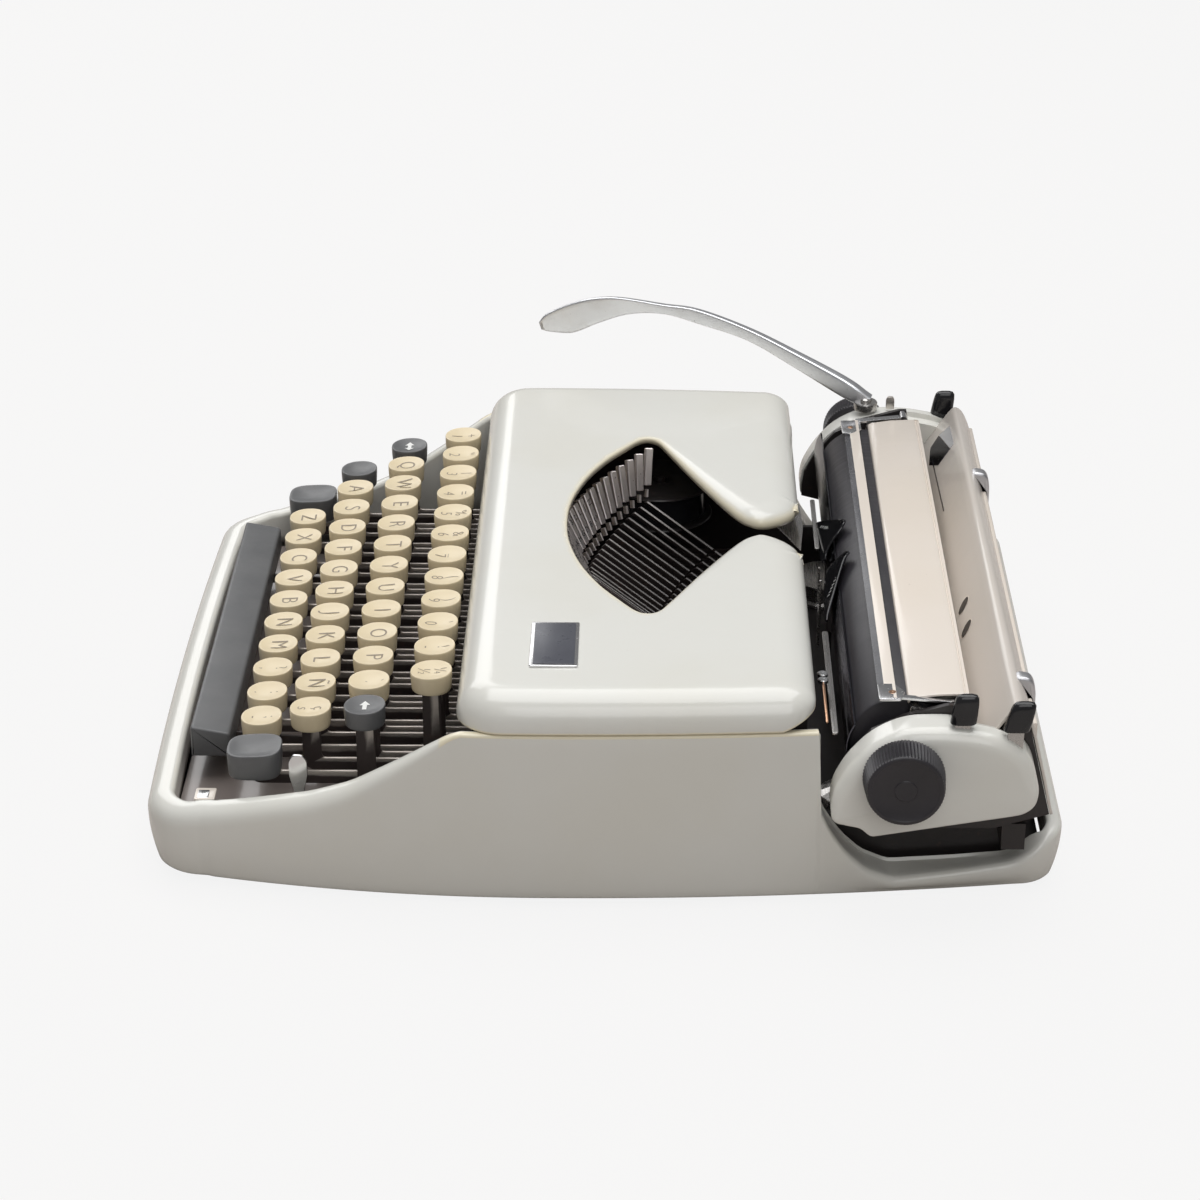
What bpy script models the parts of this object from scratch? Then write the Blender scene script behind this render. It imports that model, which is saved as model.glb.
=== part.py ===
"""Portable manual typewriter: moulded housing, hinged ribbon cover, type basket and sliding carriage.

Frame: +X to the typist's right, +Y away from the typist, +Z up, in metres.
The origin is under the middle of the housing, on the surface that the feet stand on.
The carriage stands a little to the right of the middle, as it is parked.
"""
import math

import bmesh
import bpy
from mathutils import Matrix, Vector

# the pitch of the keys, which the widths follow
KEY_PITCH = 0.019

# housing: its middle lies a little to the right of the keyboard's
BODY_WIDTH_PITCHES = 15
BODY_SIDE_MARGIN = 0.0003
BODY_HALF_WIDTH = BODY_WIDTH_PITCHES * KEY_PITCH / 2 + BODY_SIDE_MARGIN
BODY_OFFSET = 0.0027
BODY_FRONT_Y = -0.1585
BODY_REAR_Y = 0.161
BODY_WIDEST_Y = -0.020
SIDE_BOW_FRONT = 0.0193
SIDE_BOW_REAR = 0.0148
FRONT_BOW = 0.0020
FRONT_CORNER_RADIUS = 0.021
REAR_CORNER_RADIUS = 0.016
SHELL_WALL = 0.0016
SHELL_BOTTOM_Z = 0.003
SHELL_TUCK = 0.0025
MIDDLE_TUCK_SHARE = 0.2
FRONT_RIM_Z = 0.0285
SEAM_Z = 0.0675
LEDGE_Z = 0.0095
LEDGE_STEP_Z = 0.036
FRONT_RIM_RADIUS = 0.0065
SEAM_RADIUS = 0.0012
LEDGE_RADIUS = 0.0035
RIM_FLAT = 0.0012
LIP_RADIUS = 0.002
WALL_END_RUN = 0.0014
CORNER_STEPS = 4
# shares of the front edge's half length at which its outline has points
EDGE_SHARES = (0.0, 0.35, 0.7)
# share of the run from the front to the cover, and share of the rise from the rim to the seam
RIM_RISE_SHARES = ((0.0, 0.0), (0.11, 0.0), (0.27, 0.08), (0.40, 0.165), (0.54, 0.26),
                   (0.67, 0.40), (0.825, 0.67), (0.92, 0.85), (1.0, 1.0))
# share of the run from the end of the high wall to the rear, and share of the step above the ledge
LEDGE_SHARES = ((0.0, 1.0), (0.036, 0.74), (0.107, 0.40), (0.19, 0.15), (0.30, 0.0),
                (0.57, 0.06), (0.786, 0.13), (0.87, 0.28), (0.93, 0.43), (1.0, 0.51))

# clearances
GAP = 0.0003
RUNNING_GAP = 0.0005
CUT_OVERRUN = 0.010
WELD = 0.000001

# base
BASE_PLATE_Z = 0.0040
BASE_PLATE_THICKNESS = 0.0012
BASE_PLATE_INSET = 0.0055
FOOT_RADIUS = 0.010
FOOT_TOP_RADIUS = 0.0085
FOOT_SIDE_INSET = 0.0308
FOOT_X = BODY_HALF_WIDTH - FOOT_SIDE_INSET
FOOT_FRONT_Y = -0.120
FOOT_REAR_Y = 0.128
FOOT_SEGMENTS = 16

# ribbon cover
COVER_FRONT_Y = -0.047
COVER_REAR_Y = 0.074
COVER_TOP_Z = 0.0808
COVER_EDGE_RADIUS = 0.0115
COVER_WALL = 0.0015
COVER_FRONT_CORNER = 0.016
COVER_REAR_CORNER = 0.012
# how much wider the corners grow for each step inward up the rounded edge
COVER_CORNER_GROWTH_SHARE = 0.7
# shares of the run from its front to its rear at which its side has points
COVER_SIDE_SHARES = (0.38, 0.62)
COVER_SEAM_GAP = 0.0004
COVER_LIFT = 0.0048
COVER_LIFT_Y = 0.0630
OPENING_FRONT_Y = -0.0127
OPENING_SIDE_INSET = 0.0643
OPENING_HALF_WIDTH = BODY_HALF_WIDTH - OPENING_SIDE_INSET
NECK_HALF_WIDTH = 0.0062
# share of the opening's half width, and share of the run from its front to the cover's rear edge
OPENING_SHARES = ((0.0, 0.0), (0.23, 0.014), (0.48, 0.066), (0.70, 0.146), (0.865, 0.233),
                  (0.97, 0.297), (1.0, 0.343), (0.97, 0.389), (0.865, 0.435), (0.57, 0.550),
                  (0.31, 0.660), (0.155, 0.735), (0.096, 0.787), (0.079, 0.827), (0.094, 0.873),
                  (0.15, 0.937), (0.22, 0.978), (0.30, 1.0))
COVER_HINGE_Y = 0.0695
COVER_HINGE_Z = 0.0705
COVER_EAR_INSET = 0.0203
COVER_EAR_X = BODY_HALF_WIDTH - COVER_EAR_INSET
COVER_EAR_WIDTH = 0.003
COVER_EAR_RADIUS = 0.0028
HINGE_PIN_RADIUS = 0.0012
PLATE_SIDE_INSET = 0.0383
PLATE_X = BODY_HALF_WIDTH - PLATE_SIDE_INSET
PLATE_Y = -0.0145
NAME_PLATE_SIZE = (0.034, 0.017, 0.0012)
NAME_PLATE_CORNER = 0.0012

# keyboard
KEYBOARD_SIDE_MARGIN = 0.0263
KEYBOARD_X = KEYBOARD_SIDE_MARGIN - BODY_HALF_WIDTH + KEY_PITCH / 2
NUMBER_ROW_Y = -0.0572
UPPER_ROW_Y = -0.0797
HOME_ROW_Y = -0.1000
LOWER_ROW_Y = -0.1185
NUMBER_ROW_TOP_Z = 0.0702
UPPER_ROW_TOP_Z = 0.0614
HOME_ROW_TOP_Z = 0.0531
LOWER_ROW_TOP_Z = 0.0445
# each row's first light key, as a share of the pitch
ROW_SHIFT_SHARES = (0.0, 0.5, 0.75, 1.25)
ROW_KEY_COUNTS = (12, 11, 11, 10)
ROW_NAMES = ("number", "upper", "home", "lower")
ROW_DEPTHS = (NUMBER_ROW_Y, UPPER_ROW_Y, HOME_ROW_Y, LOWER_ROW_Y)
ROW_HEIGHTS = (NUMBER_ROW_TOP_Z, UPPER_ROW_TOP_Z, HOME_ROW_TOP_Z, LOWER_ROW_TOP_Z)
HOME_KEY_NAMES = ("a", "s", "d", "f", "g", "h", "j", "k", "l", "n_tilde", "accent")
LINKED_KEY = "g"
CAP_RADIUS = 0.0075
CAP_FOOT_RADIUS = 0.0069
CAP_HEIGHT = 0.0068
CAP_EDGE = 0.0009
CAP_DISH = 0.0005
CAP_SEGMENTS = 10
SHIFT_CAP_SIZE = (0.0175, 0.0190, 0.0095)
SHIFT_CAP_ROUNDING = 0.0045
SHIFT_CAP_OUTSET = 0.0035
LEVER_THICKNESS = 0.0012
LEVER_HEIGHT = 0.0050
LEVER_TOP_Z = 0.0330
STEM_WIDTH = 0.0066
STEM_SINK = 0.0020
FULCRUM_Y = 0.062
FULCRUM_Z = 0.0135
FULCRUM_ROD_RADIUS = 0.0015
FULCRUM_SEGMENTS = 6
LEVER_END_HEIGHT = 0.0060
RAMP_REAR_Y = -0.012
RAMP_FRONT_Y = -0.038
COMB_Y = -0.0440
COMB_THICKNESS = 0.0015
COMB_SLOT_WIDTH = 0.0022
COMB_SLOT_FLOOR_Z = 0.0200
COMB_TOP_Z = 0.0360
COMB_END_MARGIN = 0.0055

# space bar
BAR_CENTRE_X = -0.0035
BAR_LENGTH = 0.177
BAR_FRONT_Y = -0.1445
BAR_REAR_Y = -0.1305
BAR_FRONT_TOP_Z = 0.0380
BAR_REAR_TOP_Z = 0.0355
BAR_BOTTOM_Z = 0.0262
BAR_BEVEL = 0.0010
BAR_PIVOT_Y = -0.0790
BAR_PIVOT_Z = 0.0128
BAR_PIVOT_RADIUS = 0.0014
BAR_ARM_SPREAD_KEYS = 7
BAR_ARM_HEIGHT = 0.0045

# front apron
APRON_Z = 0.0158
APRON_THICKNESS = 0.0012
APRON_FRONT_Y = -0.1470
APRON_REAR_Y = -0.0910
APRON_SIDE_INSET = 0.0263
APRON_HALF_WIDTH = BODY_HALF_WIDTH - APRON_SIDE_INSET

# ribbon colour selector and the catch in the corner of the well
SELECTOR_SIDE_INSET = 0.0226
SELECTOR_X = BODY_HALF_WIDTH - SELECTOR_SIDE_INSET
SELECTOR_Y = -0.1025
SELECTOR_TOP_Z = 0.0465
SELECTOR_PIVOT_Z = 0.0164
SELECTOR_HALF_WIDTH = 0.0036
SELECTOR_TIP_HALF_WIDTH = 0.0019
SELECTOR_THICKNESS = 0.0014
CATCH_SIDE_INSET = 0.0293
CATCH_X = BODY_HALF_WIDTH - CATCH_SIDE_INSET
CATCH_Y = -0.1400
CATCH_SIZE = (0.0090, 0.0080, 0.0100)

# type basket
SLUG_ARC_INSET = 0.0185
SLUG_ARC_HALF_WIDTH = OPENING_HALF_WIDTH - SLUG_ARC_INSET
SLUG_ARC_DEPTH = 0.044
SLUG_ARC_RISE = 0.026
SLUG_FRONT_Y = -0.0085
SLUG_FRONT_Z = 0.0595
TYPEBAR_FAN = math.radians(68)
TYPEBAR_COUNT = 43
TYPEBAR_LENGTH = 0.0600
TYPEBAR_SLOPE = math.radians(38)
TYPEBAR_THICKNESS = 0.0009
TYPEBAR_DEPTH = 0.0032
SLUG_LENGTH = 0.0100
SLUG_WIDTH = 0.0022
SLUG_DEPTH = 0.0052
SEGMENT_REACH = 0.0040
SEGMENT_WIDTH = 0.0085
SEGMENT_STEPS = 22
SEGMENT_FOOT_X = 0.040

# ribbon parts
SPOOL_SIDE_INSET = 0.0528
SPOOL_X = BODY_HALF_WIDTH - SPOOL_SIDE_INSET
SPOOL_Y = 0.0220
SPOOL_Z = 0.0440
SPOOL_HEIGHT = 0.0150
SPOOL_RADIUS = 0.0210
SPOOL_HUB_RADIUS = 0.0080
SPOOL_FLANGE = 0.0010
SPINDLE_RADIUS = 0.0020
SPOOL_SEGMENTS = 16
VIBRATOR_HALF_WIDTH = 0.0065
VIBRATOR_THICKNESS = 0.0010
VIBRATOR_Z = (0.0300, 0.0600)
VIBRATOR_SLOT = 0.0140
CARD_HOLDER_TIP_X = 0.0300
CARD_HOLDER_INNER_X = 0.0080
CARD_HOLDER_THICKNESS = 0.0008
CARD_HOLDER_Z = (0.0405, 0.0530, 0.0705)
# the card holder's wing: share of its reach at the waist and at the top, share of the upper rise at its tip
CARD_WAIST_SHARE = 0.9
CARD_TOP_SHARE = 0.6
CARD_TIP_SHARE = 0.4

# inner frame
FRAME_PLATE_THICKNESS = 0.0020
FRAME_FRONT_Y = -0.0330
FRAME_REAR_Y = 0.1420
FRAME_BED_FRONT_Y = 0.1080
FRAME_BED_Z = (0.0170, 0.0250)
FRAME_LOW_Z = 0.0250
FRAME_HIGH_Z = 0.0640
FRAME_BAR_Z = (0.0540, 0.0580)
FRAME_BAR_DEPTH = 0.0080
REAR_RAIL_INSET = 0.0115
REAR_RAIL_HALF_LENGTH = BODY_HALF_WIDTH - REAR_RAIL_INSET
REAR_RAIL_Y = (0.1385, 0.1465)
REAR_RAIL_Z = (0.0190, 0.0290)
RAIL_WIDTH = 0.0060
RAIL_HEIGHT = 0.0045

# carriage
CARRIAGE_OFFSET = 0.0090
CARRIAGE_HALF_LENGTH = 0.1440
END_COVER_DEPTH = 0.0140
END_PLATE_THICKNESS = 0.0020
END_PLATE_X = CARRIAGE_HALF_LENGTH - END_COVER_DEPTH - GAP - END_PLATE_THICKNESS / 2
PAPER_OFFSET = 0.0140
PLATEN_Y = 0.1025
PLATEN_Z = 0.0585
PLATEN_RADIUS = 0.0170
PLATEN_END_INSET = 0.0117
PLATEN_HALF_LENGTH = END_PLATE_X - PLATEN_END_INSET
PLATEN_SEGMENTS = 32
SHAFT_RADIUS = 0.0030
SHAFT_SEGMENTS = 10
END_PLATE_INSET = 0.0008
CARRIAGE_BEAM_Y = (0.1150, 0.1350)
CARRIAGE_BEAM_Z = (0.0300, 0.0360)
END_COVER_WALL = 0.0014
END_COVER_ROUNDING = 0.0055
END_COVER_Y = (0.0790, 0.1484)
END_COVER_Z = (0.0337, 0.0742)
# shares of the end cover's depth and height, from its front corner up, over the top and back under it
END_COVER_SHARES = ((0.004, 0.121), (0.0, 0.254), (0.012, 0.402), (0.072, 0.607), (0.186, 0.837),
                    (0.346, 0.980), (0.591, 0.993), (0.823, 0.916), (0.958, 0.723), (1.0, 0.415),
                    (0.984, 0.289), (0.929, 0.220), (0.195, 0.0), (0.143, 0.081))
END_COVER_TOP_POINTS = 7
KNOB_RADIUS = 0.0138
KNOB_FACE_RADIUS = 0.0129
KNOB_LENGTH = 0.0120
KNOB_RIDGES = 30
KNOB_RIDGE_DEPTH = 0.0006
RATCHET_INSET = 0.0087
RATCHET_X = CARRIAGE_OFFSET - END_PLATE_X + RATCHET_INSET
RATCHET_RADIUS = 0.0120
RATCHET_THICKNESS = 0.0020
RATCHET_TEETH = 20
RATCHET_TOOTH = 0.0012
RATCHET_ROOT_SHARE = 0.35
ROLLER_RADIUS = 0.0050
ROLLER_ANGLE = math.radians(-80)
ROLLER_LENGTH_SHARE = 0.684
ROLLER_STUB_SHARE = 0.4
ROLLER_HALF_LENGTH = PLATEN_HALF_LENGTH * ROLLER_LENGTH_SHARE
ROLLER_SEGMENTS = 14
PAN_THICKNESS = 0.0008
PAN_START = math.radians(150)
PAN_END = math.radians(222)
PAN_STEPS = 7

# paper path
TABLE_OVERHANG = 0.0025
TABLE_HALF_LENGTH = PLATEN_HALF_LENGTH + TABLE_OVERHANG
TABLE_Y = (0.1045, 0.1240)
TABLE_Z = (0.0768, 0.0785)
TABLE_DROP_Z = 0.0600
TABLE_THICKNESS = 0.0010
BAIL_Y = (0.0950, 0.1010)
BAIL_THICKNESS = 0.0010
BAIL_PIVOT_Y = 0.1195
BAIL_PIVOT_Z = 0.0752
BAIL_ARM_WIDTH = 0.0032
BAIL_ARM_THICKNESS = 0.0012
BAIL_SIDE_CLEARANCE = 0.0007
BAIL_HALF_LENGTH = TABLE_HALF_LENGTH + BAIL_ARM_THICKNESS / 2 + BAIL_SIDE_CLEARANCE
BAIL_HUB_SHARE = 0.9
BAIL_HUB_RADIUS = 0.0016

# rear of the carriage
PANEL_END_INSET = 0.0070
PANEL_HALF_LENGTH = CARRIAGE_HALF_LENGTH - PANEL_END_INSET
PANEL_COVER_GAP = 0.0004
PANEL_BODY_HALF_LENGTH = CARRIAGE_HALF_LENGTH - END_COVER_DEPTH - PANEL_COVER_GAP
PANEL_FRONT_Y = 0.1262
PANEL_FRONT_Z = 0.0560
PANEL_CREST_Y = 0.1425
PANEL_CREST_Z = 0.0775
PANEL_CREST_RADIUS = 0.0030
PANEL_BACK_Y = 0.1550
PANEL_BACK_Z = 0.0360
PANEL_THICKNESS = 0.0012
RAIL_STRIP_Z = (0.0640, 0.0690)
RAIL_STRIP_THICKNESS = 0.0016
RAIL_STRIP_INSET = 0.0016
RAIL_STRIP_HALF_LENGTH = PANEL_BODY_HALF_LENGTH - RAIL_STRIP_INSET
STOP_WIDTH = 0.0062
STOP_HEIGHT = 0.0110
STOP_TAB_SHARE = 0.7
# places along the carriage, as shares of its rail's or its panel's half length from the middle
STOP_SHARES = (-0.5234375, 0.8359375)
SLIT_SHARES = (-0.7176, -0.3318)
OVAL_SHARES = (0.3009, 0.4552)
OVAL_TURN = math.radians(-35)
OVAL_WIDTH = 0.0024
OVAL_LENGTH = 0.0084
OVAL_ROUNDING = 0.00108

# levers of the carriage
RETURN_HUB_INSET = 0.0088
RETURN_HUB_X = CARRIAGE_OFFSET - CARRIAGE_HALF_LENGTH + RETURN_HUB_INSET
RETURN_HUB_Y = 0.1050
RETURN_HUB_RADIUS = 0.0048
RETURN_SWEEP_X = 0.0340
RETURN_SWEEP_Y = 0.1335
RETURN_RISE = 0.0310
RETURN_THICKNESS = 0.0022
RETURN_DEPTH = 0.0100
# share of the forward run, share of the outward sweep, share of the rise, share of the blade's full depth
RETURN_BLADE_SHARES = ((0.015, 0.03, 0.03, 0.80), (0.10, 0.18, 0.24, 0.70), (0.20, 0.35, 0.45, 0.62),
                       (0.35, 0.56, 0.70, 0.52), (0.50, 0.70, 0.86, 0.62), (0.62, 0.79, 0.975, 0.44),
                       (0.73, 0.87, 0.955, 0.68), (0.82, 0.92, 0.85, 1.00), (0.90, 0.965, 0.70, 1.12),
                       (0.955, 0.99, 0.63, 1.00), (0.985, 1.0, 0.635, 0.72), (1.0, 1.0, 0.665, 0.30))
SELECTOR_TAB_X = RETURN_HUB_X
SELECTOR_TAB_Y = 0.1150
RELEASE_PIVOT_Z = 0.0500
RELEASE_KNOB_SIZE = (0.0046, 0.0088, 0.0108)
RELEASE_KNOB_BEVEL = 0.0012
RELEASE_STEM_WIDTH = 0.0036
RELEASE_STEM_THICKNESS = 0.0014
RELEASE_HUB_RADIUS = 0.0030
RELEASE_INSET = 0.0053
RELEASE_SLOT_RUN = 0.0042
PAPER_RELEASE_Y = 0.1232
PAPER_RELEASE_KNOB_Z = 0.0748
CARRIAGE_RELEASE_Y = 0.1398
CARRIAGE_RELEASE_KNOB_Z = 0.0722
SUPPORT_PLACE_SHARE = -0.8333
SUPPORT_SIZE = 0.0240
SUPPORT_THICKNESS = 0.0008
# shares of the support's width along the panel and up its slope
SUPPORT_SHARES = ((-0.5, 0.40), (-0.5, 0.06), (0.10, -0.40), (0.5, 0.14), (0.5, 0.40))

# main spring drum and bell
DRUM_SIDE_INSET = 0.0478
DRUM_X = DRUM_SIDE_INSET - BODY_HALF_WIDTH
DRUM_Y = 0.0900
DRUM_RADIUS = 0.0140
DRUM_HEIGHT = 0.0090
BELL_SIDE_INSET = 0.0628
BELL_X = BODY_HALF_WIDTH - BELL_SIDE_INSET
BELL_Y = 0.0900
BELL_RADIUS = 0.0130
BELL_HEIGHT = 0.0080
BELL_WALL = 0.0010
# shares of the bell's radius at its crown and shoulder, and of its height down to its shoulder and lip
BELL_CROWN_SHARE = 0.5
BELL_SHOULDER_SHARE = 0.85
BELL_SHOULDER_DROP_SHARE = 0.25
BELL_LIP_DROP_SHARE = 0.75

PARTS = "manual_typewriter"
CUTTERS = "typewriter_cutters"


def clear_scene():
    """Remove every object that the scene holds."""
    for obj in list(bpy.data.objects):
        bpy.data.objects.remove(obj, do_unlink=True)


def new_collection(name):
    collection = bpy.data.collections.new(name)
    bpy.context.scene.collection.children.link(collection)
    return collection


def make_material(name, colour, roughness, metallic=0.0):
    """A Principled material with a plain colour."""
    material = bpy.data.materials.new(name)
    material.use_nodes = True
    shader = material.node_tree.nodes["Principled BSDF"]
    shader.inputs["Base Color"].default_value = (*colour, 1.0)
    shader.inputs["Roughness"].default_value = roughness
    shader.inputs["Metallic"].default_value = metallic
    return material


def interpolate(table, share):
    """The second column of a table at a share of its first column, on straight runs."""
    previous = table[0]
    for entry in table[1:]:
        if share <= entry[0]:
            span = entry[0] - previous[0]
            part = (share - previous[0]) / span
            return previous[1] + (entry[1] - previous[1]) * max(part, 0.0)
        previous = entry
    return table[-1][1]


def mesh_from_bmesh(name, bm):
    bmesh.ops.recalc_face_normals(bm, faces=bm.faces)
    mesh = bpy.data.meshes.new(name)
    bm.to_mesh(mesh)
    bm.free()
    return mesh


def evaluated_mesh(obj):
    """The object's evaluated mesh in world space, welded, with the object removed."""
    graph = bpy.context.evaluated_depsgraph_get()
    graph.update()
    mesh = bpy.data.meshes.new_from_object(obj.evaluated_get(graph))
    mesh.transform(obj.matrix_world)
    bm = bmesh.new()
    bm.from_mesh(mesh)
    bmesh.ops.remove_doubles(bm, verts=bm.verts, dist=WELD)
    bmesh.ops.recalc_face_normals(bm, faces=bm.faces)
    bm.to_mesh(mesh)
    bm.free()
    bpy.data.objects.remove(obj, do_unlink=True)
    return mesh


ALONG_X = Matrix(((0, 0, 1, 0), (1, 0, 0, 0), (0, 1, 0, 0), (0, 0, 0, 1)))
ALONG_Y = Matrix(((1, 0, 0, 0), (0, 0, -1, 0), (0, 1, 0, 0), (0, 0, 0, 1)))
ALONG_Z = Matrix.Identity(4)


def plate(name, outlines, thickness, frame=ALONG_Z, centre=(0, 0, 0)):
    """A flat outline, with any further outlines as holes, extruded both ways from its middle."""
    curve = bpy.data.curves.new(name, "CURVE")
    curve.dimensions = "2D"
    curve.fill_mode = "BOTH"
    curve.extrude = thickness / 2
    for outline in outlines:
        spline = curve.splines.new("POLY")
        spline.points.add(len(outline) - 1)
        for point, (u, v) in zip(spline.points, outline):
            point.co = (u, v, 0, 1)
        spline.use_cyclic_u = True
    obj = bpy.data.objects.new(name, curve)
    bpy.context.scene.collection.objects.link(obj)
    obj.matrix_world = Matrix.Translation(centre) @ frame
    bpy.context.view_layer.update()
    return evaluated_mesh(obj)


def turned(name, profile, steps, frame=ALONG_Z, centre=(0, 0, 0)):
    """A profile of (radius, height) points, top to bottom, turned about the frame's third axis."""
    bm = bmesh.new()
    verts = [bm.verts.new((radius, 0, height)) for radius, height in profile]
    for a, b in zip(verts, verts[1:]):
        bm.edges.new((a, b))
    mesh = bpy.data.meshes.new(name)
    bm.to_mesh(mesh)
    bm.free()
    obj = bpy.data.objects.new(name, mesh)
    bpy.context.scene.collection.objects.link(obj)
    screw = obj.modifiers.new("turn", "SCREW")
    screw.steps = steps
    screw.render_steps = steps
    screw.use_merge_vertices = True
    screw.merge_threshold = WELD
    obj.matrix_world = Matrix.Translation(centre) @ frame
    bpy.context.view_layer.update()
    return evaluated_mesh(obj)


def box(name, low, high):
    """A box from its low corner to its high corner."""
    size = [b - a for a, b in zip(low, high)]
    middle = [(a + b) / 2 for a, b in zip(low, high)]
    bm = bmesh.new()
    bmesh.ops.create_cube(bm, size=1.0, matrix=Matrix.Translation(middle) @ Matrix.Diagonal((*size, 1)))
    return mesh_from_bmesh(name, bm)


def cylinder(name, radius, length, segments, frame=ALONG_Z, centre=(0, 0, 0)):
    """A closed cylinder centred on a point, along the frame's third axis."""
    bm = bmesh.new()
    bmesh.ops.create_cone(bm, cap_ends=True, segments=segments, radius1=radius, radius2=radius,
                          depth=length, matrix=Matrix.Translation(centre) @ frame)
    return mesh_from_bmesh(name, bm)


def rounded_box(name, low, high, width, segments=2):
    """A box with bevelled edges."""
    bm = bmesh.new()
    bm.from_mesh(box(name, low, high))
    bmesh.ops.bevel(bm, geom=bm.edges, offset=width, segments=segments, affect="EDGES", profile=0.5)
    return mesh_from_bmesh(name, bm)


def loft(name, rings, closed=True, cap=False):
    """A skin through rings of equally many points, with capped ends if asked."""
    bm = bmesh.new()
    rows = [[bm.verts.new(point) for point in ring] for ring in rings]
    count = len(rows[0])
    last = count if closed else count - 1
    for lower, upper in zip(rows, rows[1:]):
        for i in range(last):
            j = (i + 1) % count
            bm.faces.new((lower[i], lower[j], upper[j], upper[i]))
    if cap:
        bm.faces.new(list(reversed(rows[0])))
        bm.faces.new(rows[-1])
    return bm


def joined(name, meshes):
    """Separate bodies in one mesh, ready for a union."""
    bm = bmesh.new()
    for mesh in meshes:
        bm.from_mesh(mesh)
    mesh = bpy.data.meshes.new(name)
    bm.to_mesh(mesh)
    bm.free()
    return mesh


def arc_points(centre, radius, start, end, steps):
    """Points on an arc, from one angle to another, both ends included."""
    points = []
    for i in range(steps + 1):
        angle = start + (end - start) * i / steps
        points.append((centre[0] + radius * math.cos(angle), centre[1] + radius * math.sin(angle)))
    return points


class Builder:
    """Makes the named parts and the hidden tools of their Boolean operations."""

    def __init__(self):
        self.parts = new_collection(PARTS)
        self.cutters = new_collection(CUTTERS)
        self.materials = {
            "enamel": make_material("enamel", (0.72, 0.71, 0.66), 0.25),
            "cream": make_material("cream_plastic", (0.80, 0.66, 0.40), 0.35),
            "black_plastic": make_material("black_plastic", (0.045, 0.047, 0.052), 0.35),
            "rubber": make_material("platen_rubber", (0.030, 0.028, 0.033), 0.65),
            "chrome": make_material("chrome", (0.75, 0.75, 0.77), 0.12, 1.0),
            "dark_steel": make_material("dark_steel", (0.055, 0.045, 0.045), 0.45, 0.6),
            "steel": make_material("bright_steel", (0.50, 0.49, 0.48), 0.30, 1.0),
            "beige": make_material("beige_enamel", (0.58, 0.52, 0.45), 0.30),
            "ivory": make_material("ivory_enamel", (0.78, 0.71, 0.62), 0.30),
            "grey_floor": make_material("grey_floor", (0.36, 0.32, 0.30), 0.55),
        }

    def part(self, name, mesh, material, origin=(0, 0, 0)):
        """A part with its origin at a point, its mesh given in world coordinates."""
        mesh.transform(Matrix.Translation(-Vector(origin)))
        mesh.materials.clear()
        mesh.materials.append(self.materials[material])
        obj = bpy.data.objects.new(name, mesh)
        self.parts.objects.link(obj)
        obj.location = origin
        mesh.shade_smooth()
        mesh.set_sharp_from_angle(angle=math.radians(30))
        return obj

    def tool(self, name, mesh):
        obj = bpy.data.objects.new(name, mesh)
        self.cutters.objects.link(obj)
        obj.hide_render = True
        obj.display_type = "WIRE"
        return obj

    def boolean(self, obj, name, mesh, operation):
        modifier = obj.modifiers.new(name, "BOOLEAN")
        modifier.operation = operation
        modifier.object = self.tool(obj.name + "_" + name, mesh)

    def cut(self, obj, name, mesh):
        self.boolean(obj, name, mesh, "DIFFERENCE")

    def add(self, obj, name, mesh):
        self.boolean(obj, name, mesh, "UNION")


def body_half_width(y):
    """Half the housing's width at a depth: bowed sides, widest a little before the middle."""
    if y < BODY_WIDEST_Y:
        share = (BODY_WIDEST_Y - y) / (BODY_WIDEST_Y - BODY_FRONT_Y)
        return BODY_HALF_WIDTH - SIDE_BOW_FRONT * share ** 2
    share = (y - BODY_WIDEST_Y) / (BODY_REAR_Y - BODY_WIDEST_Y)
    return BODY_HALF_WIDTH - SIDE_BOW_REAR * share ** 2


def half_outline(front_y, rear_y, front_radius, rear_radius, stations, front_bow=0.0, inset=0.0):
    """Right half of a plan outline, from the middle of the front to the middle of the rear."""
    front_x = body_half_width(front_y + front_radius) - inset - front_radius
    rear_x = body_half_width(rear_y - rear_radius) - inset - rear_radius
    points = [(front_x * share, front_y + front_bow * share ** 2) for share in EDGE_SHARES]
    corner_y = front_y + front_bow + front_radius
    points += arc_points((front_x, corner_y), front_radius, math.radians(-90), 0, CORNER_STEPS)
    for y in stations:
        if corner_y < y < rear_y - rear_radius:
            points.append((body_half_width(y) - inset, y))
    points += arc_points((rear_x, rear_y - rear_radius), rear_radius, 0, math.radians(90), CORNER_STEPS)
    points += [(rear_x * share, rear_y) for share in reversed(EDGE_SHARES)]
    return points


def whole_outline(half):
    """Both halves of a plan outline about the housing's middle, counter-clockwise from the front."""
    mirrored = [(-x, y) for x, y in reversed(half[1:-1])]
    return [(x + BODY_OFFSET, y) for x, y in half + mirrored]


def inward_normals(outline):
    """Unit vectors in plan that point into a counter-clockwise outline."""
    normals = []
    count = len(outline)
    for i in range(count):
        x0, y0 = outline[i - 1]
        x1, y1 = outline[(i + 1) % count]
        length = math.hypot(x1 - x0, y1 - y0)
        normals.append((-(y1 - y0) / length, (x1 - x0) / length))
    return normals


def offset_ring(outline, normals, offsets, heights):
    """An outline moved inward by each column's offset, at each column's height."""
    return [(x + nx * o, y + ny * o, z)
            for (x, y), (nx, ny), o, z in zip(outline, normals, offsets, heights)]


def wall_end_y():
    """Where the high side wall ends, just behind the cover."""
    return COVER_REAR_Y + WALL_END_RUN


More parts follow.
